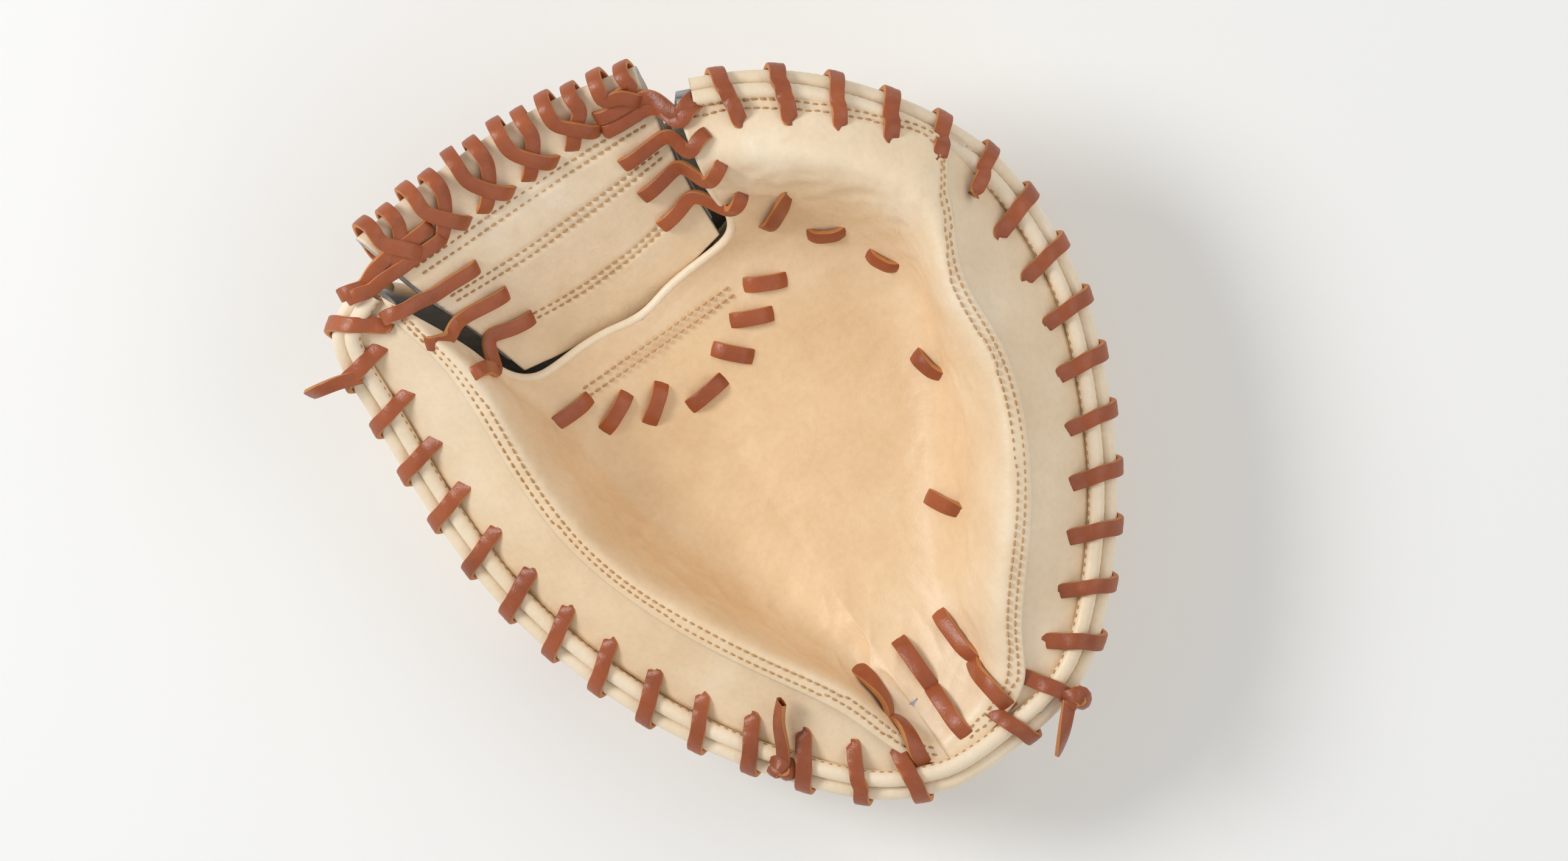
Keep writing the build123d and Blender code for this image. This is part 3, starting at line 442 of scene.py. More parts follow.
# A flat lace carried through a few points with its face towards the ups: points, faces and faces' materials.
def laceStrip(points, ups, width=lace["width"], thick=lace["thick"], spacing=binding["spacing"], twist=0.0):
    path, up = evenly(points, spacing, extra=[np.asarray(ups, float)])
    side, up = frames(path, unitRows(up))
    if twist:
        turn = np.linspace(0, twist, len(path))[:, None]
        side, up = side * np.cos(turn) + up * np.sin(turn), up * np.cos(turn) - side * np.sin(turn)
    section = laceSection(width, thick)
    count, around = len(path), len(section)
    rings = path[:, None] + side[:, None] * section[None, :, :1] + up[:, None] * section[None, :, 1:]
    faces, fans = tubeFaces(count, around)
    index = np.concatenate([np.tile(np.arange(around), count - 1), np.full(len(fans), 3)])
    return (np.concatenate([rings.reshape(-1, 3), path[:1], path[-1:]]), np.concatenate([faces, fans]),
            np.isin(index, laceSideFaces).astype(int))


def lacePiece(name, strips, nodes):
    piece = makeMesh(name, *merged(strips), [laceFace, laceEdge], np.concatenate([strip[2] for strip in strips]))
    return finishPiece(cleanMesh(piece), nodes)


# A rolled edge: a round section carried along the path, with faint puckers between its stitches.
def rollTube(path, radius, seed):
    path = np.asarray(path, float)
    side, up = frames(path, np.tile(np.array([0.0, 0.0, 1.0]), (len(path), 1)))
    angle = np.linspace(0, 2 * np.pi, binding["sides"], endpoint=False)
    run = np.concatenate([[0], np.cumsum(np.linalg.norm(np.diff(path, axis=0), axis=1))])
    pucker = 1 + 0.018 * np.sin(run * 2 * np.pi / 3.2) + 0.03 * ripples(path, 26.0, seed)
    rings = path[:, None] + radius * pucker[:, None, None] * (side[:, None] * np.cos(angle)[None, :, None]
                                                            + up[:, None] * np.sin(angle)[None, :, None])
    return (np.concatenate([rings.reshape(-1, 3), path[:1], path[-1:]]),
            np.concatenate(tubeFaces(len(path), len(angle))))


def rollPiece(name, rolls, nodes=()):
    return finishPiece(cleanMesh(makeMesh(name, *merged(rolls), [bindingHide])), nodes)


stitchSize = dict(pitch=3.3, length=2.5, radius=0.42)
stitchMeshes = {"palm": [], "back": []}


# Thread stitches along a path: each is a six-sided spindle, half sunk, whose ends dip into the leather.
def stitchRow(group, path, normals, pitch=stitchSize["pitch"], lift=0.12):
    path, normals = evenly(path, pitch, extra=[np.asarray(normals, float)])
    if len(path) < 3:
        return
    run, up = unitRows(np.gradient(path, axis=0)), unitRows(normals)
    side = unitRows(np.cross(run, up))
    along = np.linspace(-0.5, 0.5, 5)
    thick = np.array([0.35, 0.9, 1.0, 0.9, 0.35]) * stitchSize["radius"]
    dip = np.array([-0.45, 0.05, 0.18, 0.05, -0.45])
    angle = np.linspace(0, 2 * np.pi, 6, endpoint=False)
    local = np.stack([np.repeat(along * stitchSize["length"], 6), np.outer(thick, np.cos(angle)).ravel(),
                      np.outer(thick, np.sin(angle)).ravel() + np.repeat(dip, 6)], axis=1)
    local = np.concatenate([local, [(-0.53 * stitchSize["length"], 0, -0.5), (0.53 * stitchSize["length"], 0, -0.5)]])
    spots = (path[:, None] + run[:, None] * local[None, :, :1] + side[:, None] * local[None, :, 1:2]
             + up[:, None] * (local[None, :, 2:] + lift))
    faces = np.concatenate(tubeFaces(5, 6))
    every = faces[None] + (np.arange(len(path)) * len(local))[:, None, None]
    stitchMeshes[group].append((spots.reshape(-1, 3), every.reshape(-1, 4)))


# Camera, floor and lights
view = dict(imageRight=(0.819, -0.574, 0.0), imageUp=(0.574, 0.819, 0.0), aim=(20.0, -13.0, 60.0), distance=3000.0,
            imageHeightMm=330.0)
cameraData = bpy.data.cameras.new("camera")
camera = bpy.data.objects.new("camera", cameraData)
bpy.context.scene.collection.objects.link(camera)
right, up = [np.array(view[k]) / np.linalg.norm(view[k]) for k in ("imageRight", "imageUp")]
back = np.cross(right, up)
aim = (np.array(view["aim"]) - origin) / 1000
seat = aim + back * view["distance"] / 1000
camera.matrix_world = Matrix([[right[k], up[k], back[k], seat[k]] for k in range(3)] + [[0, 0, 0, 1]])
cameraData.sensor_width = 36.0
cameraData.lens = 36.0 * view["distance"] / (view["imageHeightMm"] * 2576 / 1415)
cameraData.clip_end = 20.0
bpy.context.scene.camera = camera
bpy.context.scene.view_settings.view_transform = "Standard"

floorMaterial = bpy.data.materials.new("painted floor matte white")
floorMaterial.use_nodes = True
floorTree = floorMaterial.node_tree
floorShader = floorTree.nodes["Principled BSDF"]
floorShader.inputs["Base Color"].default_value = linear("#F4F4F2")
floorShader.inputs["Roughness"].default_value = 0.9
bpy.ops.mesh.primitive_plane_add(size=8, location=(0, 0, cadBox[0][2] - 0.0003))
floor = bpy.context.object
floor.name = "floor"
floor.data.materials.append(floorMaterial)

lights = dict(key=dict(place=(-1.1, 1.3, 1.5), energy=27.0, size=0.9),
              fill=dict(place=(1.3, -0.3, 1.4), energy=6.0, size=1.6),
              rear=dict(place=(0.2, -1.5, 1.1), energy=3.0, size=1.4))
for name, lamp in lights.items():
    data = bpy.data.lights.new(name, "AREA")
    data.energy, data.size, data.shape = lamp["energy"], lamp["size"], "DISK"
    light = bpy.data.objects.new(name, data)
    bpy.context.scene.collection.objects.link(light)
    place = np.array(lamp["place"])
    away = unitRows(place - np.array([0, 0, 0.06]))
    sideways = unitRows(np.cross((0, 0, 1), away))
    upward = np.cross(away, sideways)
    light.matrix_world = Matrix([[sideways[k], upward[k], away[k], place[k]] for k in range(3)] + [[0, 0, 0, 1]])
world = bpy.data.worlds.new("studio")
bpy.context.scene.world = world
world.use_nodes = True
world.node_tree.nodes["Background"].inputs["Color"].default_value = (1, 1, 1, 1)
world.node_tree.nodes["Background"].inputs["Strength"].default_value = 0.5


# Shell of the palm side
print("palm leather")
thumb = MittHalf("thumb", -1, -1.0)
finger = MittHalf("finger", 1, shell["fingerBandStart"])
halves = {"thumb": thumb, "finger": finger}
seamPlace, footPlace = shell["palmPlaces"][1], shell["palmPlaces"][4]
grid = dict(stations=230, rows=88)
stations = np.linspace(0, 1, grid["stations"])


# Both halves' grids side by side, the crease column kept once.
def joined(thumbGrid, fingerGrid):
    return np.concatenate([thumbGrid, fingerGrid[:, ::-1][:, 1:]], axis=1)


starts = {name: half.leatherStarts(stations) for name, half in halves.items()}
bare = {name: half.palm(stations, starts[name], np.ones(len(stations)), grid["rows"])
        for name, half in halves.items()}
palmPoints = joined(bare["thumb"], bare["finger"])
palmNormals = gridNormals(palmPoints)
dense = np.linspace(0, 1, 420)
palmField = field(joined(*[half.palm(dense, half.leatherStarts(dense), np.ones(420), 150)
                           for half in (thumb, finger)]))


# Running distance in mm from a grid's first and last columns, whichever is nearer.
def edgeDistance(points):
    step = np.linalg.norm(np.diff(points, axis=1), axis=2)
    inward = np.concatenate([np.zeros((len(points), 1)), np.cumsum(step, axis=1)], axis=1)
    return np.minimum(inward, inward[:, -1:] - inward)


wrinkle = dict(soft=0.9, seamDip=0.45, foot=1.1)
fromEdge = edgeDistance(palmPoints)
broad = ripples(palmPoints, 70.0, 3) * wrinkle["soft"]
foldLines = np.abs(ripples(palmPoints * np.array([1, 1, 1.4]), 24.0, 5)) ** 0.7
nearFoot = np.exp(-((fromEdge - 46) / 16) ** 2)
palmLift = broad + (0.35 - foldLines) * wrinkle["foot"] * (0.25 + nearFoot) + ripples(palmPoints, 9.0, 8) * 0.12
palmLift -= wrinkle["seamDip"] * np.exp(-((fromEdge - 5.2) / 1.6) ** 2)
calm = (np.clip(fromEdge / 9, 0, 1) * np.clip(stations * 14, 0, 1)[:, None]
        * np.clip((1 - stations) * 60, 0, 1)[:, None])
palmLift = palmLift * (0.2 + 0.8 * calm)
palmShape = palmPoints + palmNormals * np.minimum(palmLift, 0.9)[..., None]
palmLeather = makeMesh("palmLeather", palmShape, gridFaces(*palmShape.shape[:2])[:, ::-1], [steerhide, rawEdge])
thicken(palmLeather, shell["leather"], rim=1)
finishPiece(palmLeather, both("palm_leather"))


# A line on the palm leather that keeps a distance from its raw edge.
def edgePath(half, s, away):
    across = half.palm(s, half.leatherStarts(s), np.full(len(s), 0.9), 80)
    step = np.linalg.norm(np.diff(across, axis=1), axis=2)
    run = np.concatenate([np.zeros((len(s), 1)), np.cumsum(step, axis=1)], axis=1)
    row = np.argmin(np.abs(run - away), axis=1)
    normals = gridNormals(across)
    return across[np.arange(len(s)), row], normals[np.arange(len(s)), row]


for name, half in halves.items():
    s = np.linspace(0.02 if name == "thumb" else 0.01, 0.97, 170)
    for away in (3.4, 6.6):
        path, normals = edgePath(half, s, away)
        stitchRow("palm", path, normals)

print("rim bands and bindings")
for name, half in halves.items():
    s = np.linspace(0.0 if name == "thumb" else half.bandStart + 0.03, 0.985, 170)
    lines = half.palmLines(s)
    start = half.clearOfRoll(half.palmLines, shell["palmPlaces"], s) * 0.7
    reach = np.linalg.norm(lines[:, 1] - lines[:, 0], axis=1)
    band = half.palm(s, start, seamPlace * (1 + np.minimum(7.0 / reach, 0.2)), 16)
    normals = gridNormals(band)
    depth = shell["leather"] + 0.1 - 0.9 * np.linspace(1, 0, 16)[None, :, None] ** 2
    band = band - normals * depth + normals * (ripples(band, 14.0, 12) * 0.25)[..., None]
    order = gridFaces(*band.shape[:2])
    piece = makeMesh(f"rimBand_{name}", band, order[:, ::-1] if half.sign < 0 else order, [steerhide, rawEdge])
    thicken(piece, shell["bandLeather"], rim=1)
    finishPiece(piece, [f"rim_band_{name}"])

s = np.linspace(0.0, 1.0, 200)
rolls = [("palm", MittHalf.palmRoll, 21, -0.86, 0.5), ("back", MittHalf.backRoll, 21, 0.5, -0.86)]
for group, rollOf, seed, outShare, upShare in rolls:
    line = evenly(np.concatenate([rollOf(thumb, s)[:-3], rollOf(finger, s)[::-1][3:]])[::6], binding["spacing"])
    rollPiece(f"{group}Binding", [rollTube(line, binding["radius"] + 0.05, seed)], both(f"{group}_binding"))
    out = unitRows(line - np.array([8.0, -10.0, 0]))
    out[:, 2] = 0
    side = unitRows(out) * outShare + np.array([0, 0, upShare])
    stitchRow(group, (line + side * binding["radius"])[::3], side[::3], lift=0.0)

# Rim laces: each wrap rises from the band, leans over both rolls and dives into the back
print("rim laces")
for name, half in halves.items():
    rimLine = half.backRoll(np.linspace(0, 1, 400))
    run = np.concatenate([[0], np.cumsum(np.linalg.norm(np.diff(rimLine, axis=0), axis=1))])
    strips = []
    for number, distance in enumerate(np.arange(lace["pitch"] * 0.8, run[-1] - lace["pitch"] * 0.6, lace["pitch"])):
        place = np.array([np.interp(distance, run, np.linspace(0, 1, 400))])
        out = half.outward(place)[0]
        inner, outer = half.palmRoll(place)[0], half.backRoll(place)[0]
        lines = half.palmLines(place)[0]
        ahead = unitRows(np.cross(np.array([0, 0, 1.0]), out)) * half.sign
        tilt = lines[1] - lines[0]
        tilt = unitRows((tilt @ out) * out + tilt[2] * np.array([0, 0, 1.0]))
        face = tilt[2] * out - (tilt @ out) * np.array([0, 0, 1.0])
        step = unitRows(outer - inner)
        over = -step[2] * out + (step @ out) * np.array([0, 0, 1.0])
        first = face if face[2] > over[2] + 0.05 else over
        wide = binding["radius"] + lace["thick"] / 2 + 0.25
        low = 1.0 if half.sign > 0 and place[0] < half.bandStart + 0.12 else -2.2
        spots = [inner + tilt * 12.5 + face * (low - 3.0), inner + tilt * 10.0 + face * (low + 0.6),
                 inner + tilt * 6.0 + face * (low + 2.6), inner + unitRows(tilt + first) * wide]
        ups = [unitRows(face - tilt), face, face, unitRows(tilt + first)]
        for way in ([first, over] if first is face else [over]) + [over]:
            if np.linalg.norm(inner + way * wide - spots[-1]) > 1.5:
                spots.append(inner + way * wide)
                ups.append(way)
        for way in (over, over + step, step, step - over):
            way = unitRows(way)
            spots.append(outer + way * wide)
            ups.append(way)
        spots.append(outer + unitRows(-over + step * 0.1) * (binding["radius"] + 0.6) - out * 3.0)
        ups.append(unitRows(step - over))
        spots, ups = np.array(spots), np.array(ups)
        shares = np.linspace(-0.5, 0.5, len(spots))[:, None]
        spots = spots + ahead * shares * lace["slant"] * half.sign
        strips.append(laceStrip(spots, ups, width=lace["width"] * (0.96 + 0.05 * np.sin(number * 2.3))))
    lacePiece(f"rimLace_{name}", strips, [f"rim_lace_{name}"])

# Short runs of lace through the pocket
print("pocket laces")
pocketRuns = dict(thumb=[(-42, 40, 4, 15), (-29, 30, 24, 15), (-14.5, 24, 38, 14)],
                  finger=[(4, 16, 5, 15), (21, 23, -47, 14), (35, 30, -25, 15), (47, 38, -27, 15), (65, 57, 20, 13),
                          (77, 40, -30, 13), (89, 19, -62, 12), (80, -24, -75, 12), (54, -71, -60, 12)],
                  thick=2.0, width=6.2)


# A short run that rises out of the leather and dives back into it: its height is a flat-topped arch.
def hump(x, y, turn, length, surfaceAt, lift):
    way = np.array([np.cos(np.radians(turn)), np.sin(np.radians(turn))])
    share = np.array([-0.62, -0.5, -0.3, 0.0, 0.3, 0.5, 0.62])
    spots, normals = surfaceAt(np.array([x, y]) + way * share[:, None] * length)
    rise = np.array([-2.6, -0.2, lift * 0.85, lift, lift * 0.85, -0.2, -2.6])
    tip = np.array([-1.1, -0.7, -0.2, 0, 0.2, 0.7, 1.1])[:, None] * np.array([*way, 0])
    return spots + normals * rise[:, None], unitRows(normals + tip)


for name in ("thumb", "finger"):
    strips = [laceStrip(*hump(*run, palmField, 2.1), width=pocketRuns["width"], thick=pocketRuns["thick"])
              for run in pocketRuns[name]]
    lacePiece(f"palmLace_{name}", strips, [f"palm_lace_{name}"])
heel = dict(thumb=[-9.0], finger=[10.0, 29.0], spans=((-147.0, -127.0), (-125.0, -105.0)))
for name in ("thumb", "finger"):
    strips = [laceStrip(*hump(x, (first + last) / 2, 90 + x * 0.1, last - first, palmField, 2.1))
              for x in heel[name] for first, last in heel["spans"]]
    lacePiece(f"heelLace_{name}", strips, [f"heel_lace_{name}"])

# stitched channel across the palm's top and the welt of its top edge
print("palm top and web")
for y in (41.0, 44.6):
    x = np.linspace(-33, 33, 40)
    spots, normals = palmField(np.stack([x, np.full(40, y)], axis=1))
    stitchRow("palm", spots, normals, lift=0.6)
topEdge = palmShape[0]
columns = slice(34, -34)
line = topEdge[columns] - palmNormals[0][columns] * 1.5 + unitRows(palmShape[0] - palmShape[3])[columns] * 0.7
rollPiece("palmTopBinding", [rollTube(evenly(line[::7], binding["spacing"]), 1.75, 31)], both("palm_top_binding"))

# Web: front panel folded over its top, back panel, channels and lacing
web = dict(rows=[[(-49, 66, 59), (-24, 62, 48), (-4, 60, 44), (18, 62, 48), (43, 66, 58)],
                 [(-54, 84, 74), (-26, 81, 62), (-6, 80, 59), (18, 81, 62), (44, 84, 73)],
                 [(-61, 105, 90), (-30, 104, 79), (-8, 104, 76), (18, 104, 79), (47, 104, 88)],
                 [(-69, 134, 101), (-36, 136, 96), (-8, 136, 95), (20, 133, 96), (51, 126, 100)]],
           spacing=3.2, leather=3.0, channels=(0.26, 0.60, 0.80), channelGap=0.038)
webNet = np.array(web["rows"], float)


def webSurface(upPlaces, overPlaces):
    return np.einsum("ri,ijk,cj->rck", splineRows(np.linspace(0, 1, 4), upPlaces), webNet,
                     splineRows(np.linspace(0, 1, 5), overPlaces))


upPlaces, overPlaces = np.linspace(-0.06, 1, 110), np.linspace(0, 1, 110)
front = webSurface(upPlaces, overPlaces)
frontNormals = gridNormals(front)
webField = field(webSurface(np.linspace(-0.05, 1, 260), np.linspace(0, 1, 260)))
seams = [(channel, gap) for channel in web["channels"] for gap in (-web["channelGap"] / 2, web["channelGap"] / 2)]
groove = sum(np.exp(-((upPlaces - channel - gap) / 0.012) ** 2) for channel, gap in seams)
puff = (0.5 * ripples(front, 40.0, 41) + 0.2 * ripples(front, 12.0, 42)) - 0.55 * groove[:, None]
puff = np.minimum(puff * np.clip((1 - upPlaces) * 14, 0, 1)[:, None], 0.8)
front = front + frontNormals * puff[..., None]
foldRadius = web["leather"] + web["spacing"] / 2
turn = np.linspace(0, np.pi, 14)[1:]
lead = unitRows(front[-1] - front[-3])
topNormal = frontNormals[-1]
fold = (front[-1] + lead * (np.sin(turn) * foldRadius)[:, None, None]
        + topNormal * ((np.cos(turn) - 1) * foldRadius)[:, None, None])
tuck = fold[-1] - lead * np.linspace(0, 1, 10)[1:, None, None] * 15.0
webFront = np.concatenate([front, fold, tuck])
piece = makeMesh("webFrontPanel", webFront, gridFaces(*webFront.shape[:2]), [steerhide, rawEdge])
thicken(piece, web["leather"], rim=1)
finishPiece(piece, both("web_front_panel"))
backUp = np.linspace(0.0, 0.9, 80)
rear = webSurface(backUp, overPlaces)
rearNormals = gridNormals(rear)
rear = rear - rearNormals * (web["leather"] + web["spacing"] - 0.3 * ripples(rear, 30.0, 43)[..., None])
piece = makeMesh("webBackPanel", rear, gridFaces(*rear.shape[:2]), [backHide, rawEdge])
thicken(piece, web["leather"], rim=1)
finishPiece(piece, both("web_back_panel"))
for channel, gap in seams:
    lines = webSurface(np.array([channel + gap, channel + gap + 0.01]), np.linspace(0.05, 0.95, 60))
    normals = gridNormals(lines)[0]
    stitchRow("palm", lines[0], normals, lift=-0.15)
    stitchRow("back", lines[0] - normals * (2 * web["leather"] + web["spacing"] + 0.2), -normals, lift=0.1)

# side laces tie the web to both stalls, two strands at the top
print("web laces")
stallLine = {name: half.palm(np.linspace(0, 0.02, 3), [seamPlace * 0.7] * 3, [footPlace] * 3, 60)[0]
             for name, half in halves.items()}
sideLaces = dict(levels=(0.04, 0.12, 0.34, 0.58, 0.84), reach=8.0)
for name, half in halves.items():
    strips = []
    for number, level in enumerate(sideLaces["levels"]):
        upWeb = np.array([0.14 + 0.82 * (1 - level)])
        over = np.array([0.0, 0.07, 0.16])
        edge = webSurface(upWeb, over if half.sign < 0 else 1 - over)[0]
        stall = stallLine[name][min(int(level * 59), 59)]
        spots, normals = palmField(np.array([stall[:2] + np.array([half.sign * sideLaces["reach"], 2.0])]))
        spot, normal = spots[0], normals[0]
        webNormal = unitRows(np.cross(edge[1] - edge[0], np.array([0, 1.0, 0.4])) * half.sign)
        webNormal = webNormal if webNormal[2] > 0 else -webNormal
        middle = (edge[0] + stall) / 2 + np.array([0, 0, 2.4])
        points = [edge[2] - webNormal * 3, edge[2] + webNormal * 0.6, edge[1] + webNormal * 1.9,
                  edge[0] + webNormal * 2.0, middle, stall + np.array([0, 0, 2.0]),
                  (stall + spot) / 2 + normal * 3.0, spot + normal * 0.5, spot - normal * 1.4]
        ups = [webNormal + (edge[2] - edge[0]) * 0.05, webNormal, webNormal, webNormal, webNormal + normal,
               webNormal + normal, normal, normal, normal + np.array([half.sign * 0.6, 0, 0])]
        strips.append(laceStrip(points, unitRows(np.array(ups)), width=5.6, twist=0.15 * (number % 2)))
    lacePiece(f"webSideLace_{name}", strips, [f"web_side_lace_{name}"])

# the top lace: slanted wraps over the folded top, crossed by runs that lean the other way
topLace = dict(first=-60.0, last=42.0, wraps=6, lean=7.5, low=118.0)
topRow, onward = webSurface(np.array([1.0]), np.linspace(0, 1, 200))[0], lead[60]
strips = []
for number, x in enumerate(np.linspace(topLace["first"], topLace["last"], topLace["wraps"])):
    for lean in (1.0, -1.0):
        high = topRow[np.argmin(np.abs(topRow[:, 0] - x - 5 * lean))]
        spots, normals = webField(np.array([(x - topLace["lean"] * lean, topLace["low"] + 1.5),
                                            (x - topLace["lean"] * lean * 0.6, topLace["low"] + 4.5),
                                            (x, topLace["low"] + 9.5)]))
        n = normals[1]
        rise = 2.2 + (1.9 if lean < 0 else 0.0)
        peak = high + np.array([0, foldRadius * 0.3, 0])
        points = [spots[0] - n * 2.6, spots[1] + n * (rise * 0.7), spots[2] + n * rise, high + n * rise * 0.9,
                  peak + unitRows(onward + n) * (foldRadius * 0.4 + rise),
                  peak + onward * (foldRadius + rise * 0.8) - n * foldRadius,
                  high - n * (2 * foldRadius + 2.2) + onward, high - n * (2 * foldRadius + 1.9) - onward * 8,
                  high - n * (2 * foldRadius - 1.0) - onward * 11]
        ups = [n + np.array([0, -0.4, 0.2]), n, n, n, onward + n, onward, -n, -n, -n - onward]
        strips.append(laceStrip(points, unitRows(np.array(ups)), **thinLace))
lacePiece("webTopLace", strips, both("web_top_lace"))
strips = []
backDrop = 2 * web["leather"] + web["spacing"] + 1.3
for x in (-20.6, 20.6):
    for number, lean in enumerate((1, -1)):
        share = np.array([-1.15, -1.0, -0.5, 0, 0.5, 1.0, 1.15])
        spots, normals = webField(np.array([x, 88.0]) + share[:, None] * np.array([7.5 * lean, 7.5]))
        drop = backDrop + np.array([-3.0, 0, 0.7, 0.9, 0.7, 0, -3.0]) + number * np.array([0, 0, 1.2, 2.2, 1.2, 0, 0])
        strips.append(laceStrip(spots - normals * drop[:, None], -normals, **thinLace))
lacePiece("webBackCross", strips, both("web_back_cross_lace"))
x = np.array([-58, -48, -36, -24, -12, 0, 12, 24, 36, 46.0])
spots, normals = webField(np.stack([x, 112 + 1.5 * np.sin(x / 9)], axis=1))
tension = laceStrip(spots - normals * (backDrop + 0.9 + 1.0 * np.sin(x / 12)[:, None] ** 2), -normals)


# A small overhand knot: a lace wound round a ring, whose radius and height beat three times in two turns.
def knot(centre, across, up, size=5.2, turns=2.2):
    t = np.linspace(0, turns * 2 * np.pi, 22)
    across, up = unitRows(np.array(across, float)), unitRows(np.array(up, float))
    third = np.cross(across, up)
    radius = size * (0.55 + 0.28 * np.cos(1.5 * t))
    path = (np.array(centre) + across * (radius * np.cos(t))[:, None] + third * (radius * np.sin(t) * 0.8)[:, None]
            + up * (2.0 + 1.9 * np.sin(1.5 * t))[:, None])
    ups = up + across * (np.cos(t) * 0.8)[:, None] + third * (np.sin(t) * 0.8)[:, None]
    return laceStrip(path, unitRows(ups), width=5.2, thick=2.0, spacing=1.3)


middle, normal = webField(np.array([[-18.0, 112.0]]))
knotParts = [tension, knot(middle[0] - normal[0] * (backDrop + 1), (1, 0.2, 0), -normal[0])]
lacePiece("webTensionLace", knotParts, both("web_tension_lace"))

# Back of the mitt
print("back")
backStations = np.linspace(0, 1, 250)
backGrid = joined(*[half.back(backStations, half.clearOfRoll(half.backLines, shell["backPlaces"], backStations) * 0.8,
                              np.ones(250), 84) for half in (thumb, finger)])
backFloor = 1.5   # the flat of the back lies this high, so that panels and threads on it clear the table
backGrid[..., 2] = np.maximum(backGrid[..., 2], backFloor)
backField = field(joined(*[half.back(dense, np.zeros(420), np.ones(420), 150) for half in (thumb, finger)]))


# Points on the back over plan points, held off the table, and the directions out of the leather.
def onBack(plan, lowest=backFloor):
    spots, normals = backField(plan)
    spots[..., 2] = np.maximum(spots[..., 2], lowest)
    return spots, -normals


outlines = dict(
    opening=[(17, -78), (-6, -58), (-31, -43), (-45, -44), (-47, -55), (-24, -80), (2, -100), (18, -96)],
    index=[(-29, -37), (6, -56), (38, -10), (38, 13), (19, 13)],
    crescent=[(104, 92), (75, 62), (52, 40), (30, 26), (9, 19), (-19, 13), (-43, 15), (-63, 22), (-84, 40),
              (-112, 60)],
    fourchette=[(42, -24), (88, 30), (80, 42), (66, 44), (44, 20)])
handAxis, wristAxis = np.array([0.574, 0.819]), np.array([0.819, -0.574])
strap = dict(centre=np.array([-39.0, -105.0]), width=55.0, reach=76.0, window=51.0, thick=3.2, depth=9.2,
             bindingDepth=8.6, stitchDepth=7.3)


def outlineLine(points, spacing=1.0, closed=True, smooth=True):
    points = np.concatenate([np.asarray(points, float), np.zeros((len(points), 1))], axis=1)
    if smooth:
        return evenly(points, spacing, closed=closed)[:, :2]
    ends = np.concatenate([points, points[:1]]) if closed else points
    run = np.concatenate([[0], np.cumsum(np.linalg.norm(np.diff(ends, axis=0), axis=1))])
    at = np.arange(0, run[-1], spacing)
    return np.stack([np.interp(at, run, ends[:, k]) for k in (0, 1)], axis=1)


# Distance to a closed line and the nearest point on it; negative inside, by the even-odd rule.
def insideDistance(xy, line):
    flat = xy[..., :2].reshape(-1, 2)
    best, nearest = np.full(len(flat), 1e9), np.zeros((len(flat), 2))
    odd = np.zeros(len(flat), bool)
    for a, b in zip(line, np.roll(line, -1, axis=0)):
        edge = b - a
        share = np.clip(((flat - a) @ edge) / max(edge @ edge, 1e-9), 0, 1)
        spot = a + share[:, None] * edge
        away = np.linalg.norm(flat - spot, axis=1)
        closer = away < best
        best, nearest = np.where(closer, away, best), np.where(closer[:, None], spot, nearest)
        crosses = (a[1] > flat[:, 1]) != (b[1] > flat[:, 1])
        with np.errstate(divide="ignore", invalid="ignore"):
            at = a[0] + (flat[:, 1] - a[1]) * edge[0] / (edge[1] if edge[1] else 1e-9)
        odd ^= crosses & (flat[:, 0] < at)
    return np.where(odd, -best, best).reshape(xy.shape[:-1]), nearest.reshape(*xy.shape[:-1], 2)


windowLine = np.array([strap["centre"] + wristAxis * a * strap["window"] / 2 + handAxis * b * 55.0
                       for a, b in ((1, 1), (-1, 1), (-1, -1), (1, -1))])
openingLine = outlineLine(outlines["opening"], 3.0)
regionLines = dict(
    opening=openingLine,
    window=outlineLine(windowLine, 3.0, smooth=False),
    index=outlineLine(outlines["index"], 3.0, smooth=False),
    crescent=outlineLine([*outlineLine(outlines["crescent"], 4.0, closed=False), (-150, 180), (150, 180)], 6.0,
                         smooth=False),
    fourchette=outlineLine(outlines["fourchette"], 3.0, smooth=False),
    little=outlineLine([(-150, -84), (-22, -84), (0, -104), (0, -220), (-150, -220)], 5.0, smooth=False))
regions = {name: insideDistance(backGrid[..., :2], line) for name, line in regionLines.items()}


# A panel of leather: its outer faces, the same faces one thickness inside, and walls along the open edges.
def walledPanel(name, points, normals, faces, thick):
    count = len(points)
    edges = np.concatenate([faces[:, [k, (k + 1) % 4]] for k in range(4)])
    low, high = edges.min(axis=1), edges.max(axis=1)
    _, first, times = np.unique(low * count + high, return_index=True, return_counts=True)
    rim = edges[first[times == 1]]
    walls = np.stack([rim[:, 1], rim[:, 0], rim[:, 0] + count, rim[:, 1] + count], axis=1)
    kinds = np.concatenate([np.zeros(len(faces)), np.ones(len(faces) + len(walls))])
    return makeMesh(name, np.concatenate([points, points - normals * thick]),
                    np.concatenate([faces, faces[:, ::-1] + count, walls]), [backHide, rawEdge], kinds)


snapWithin = 0.75


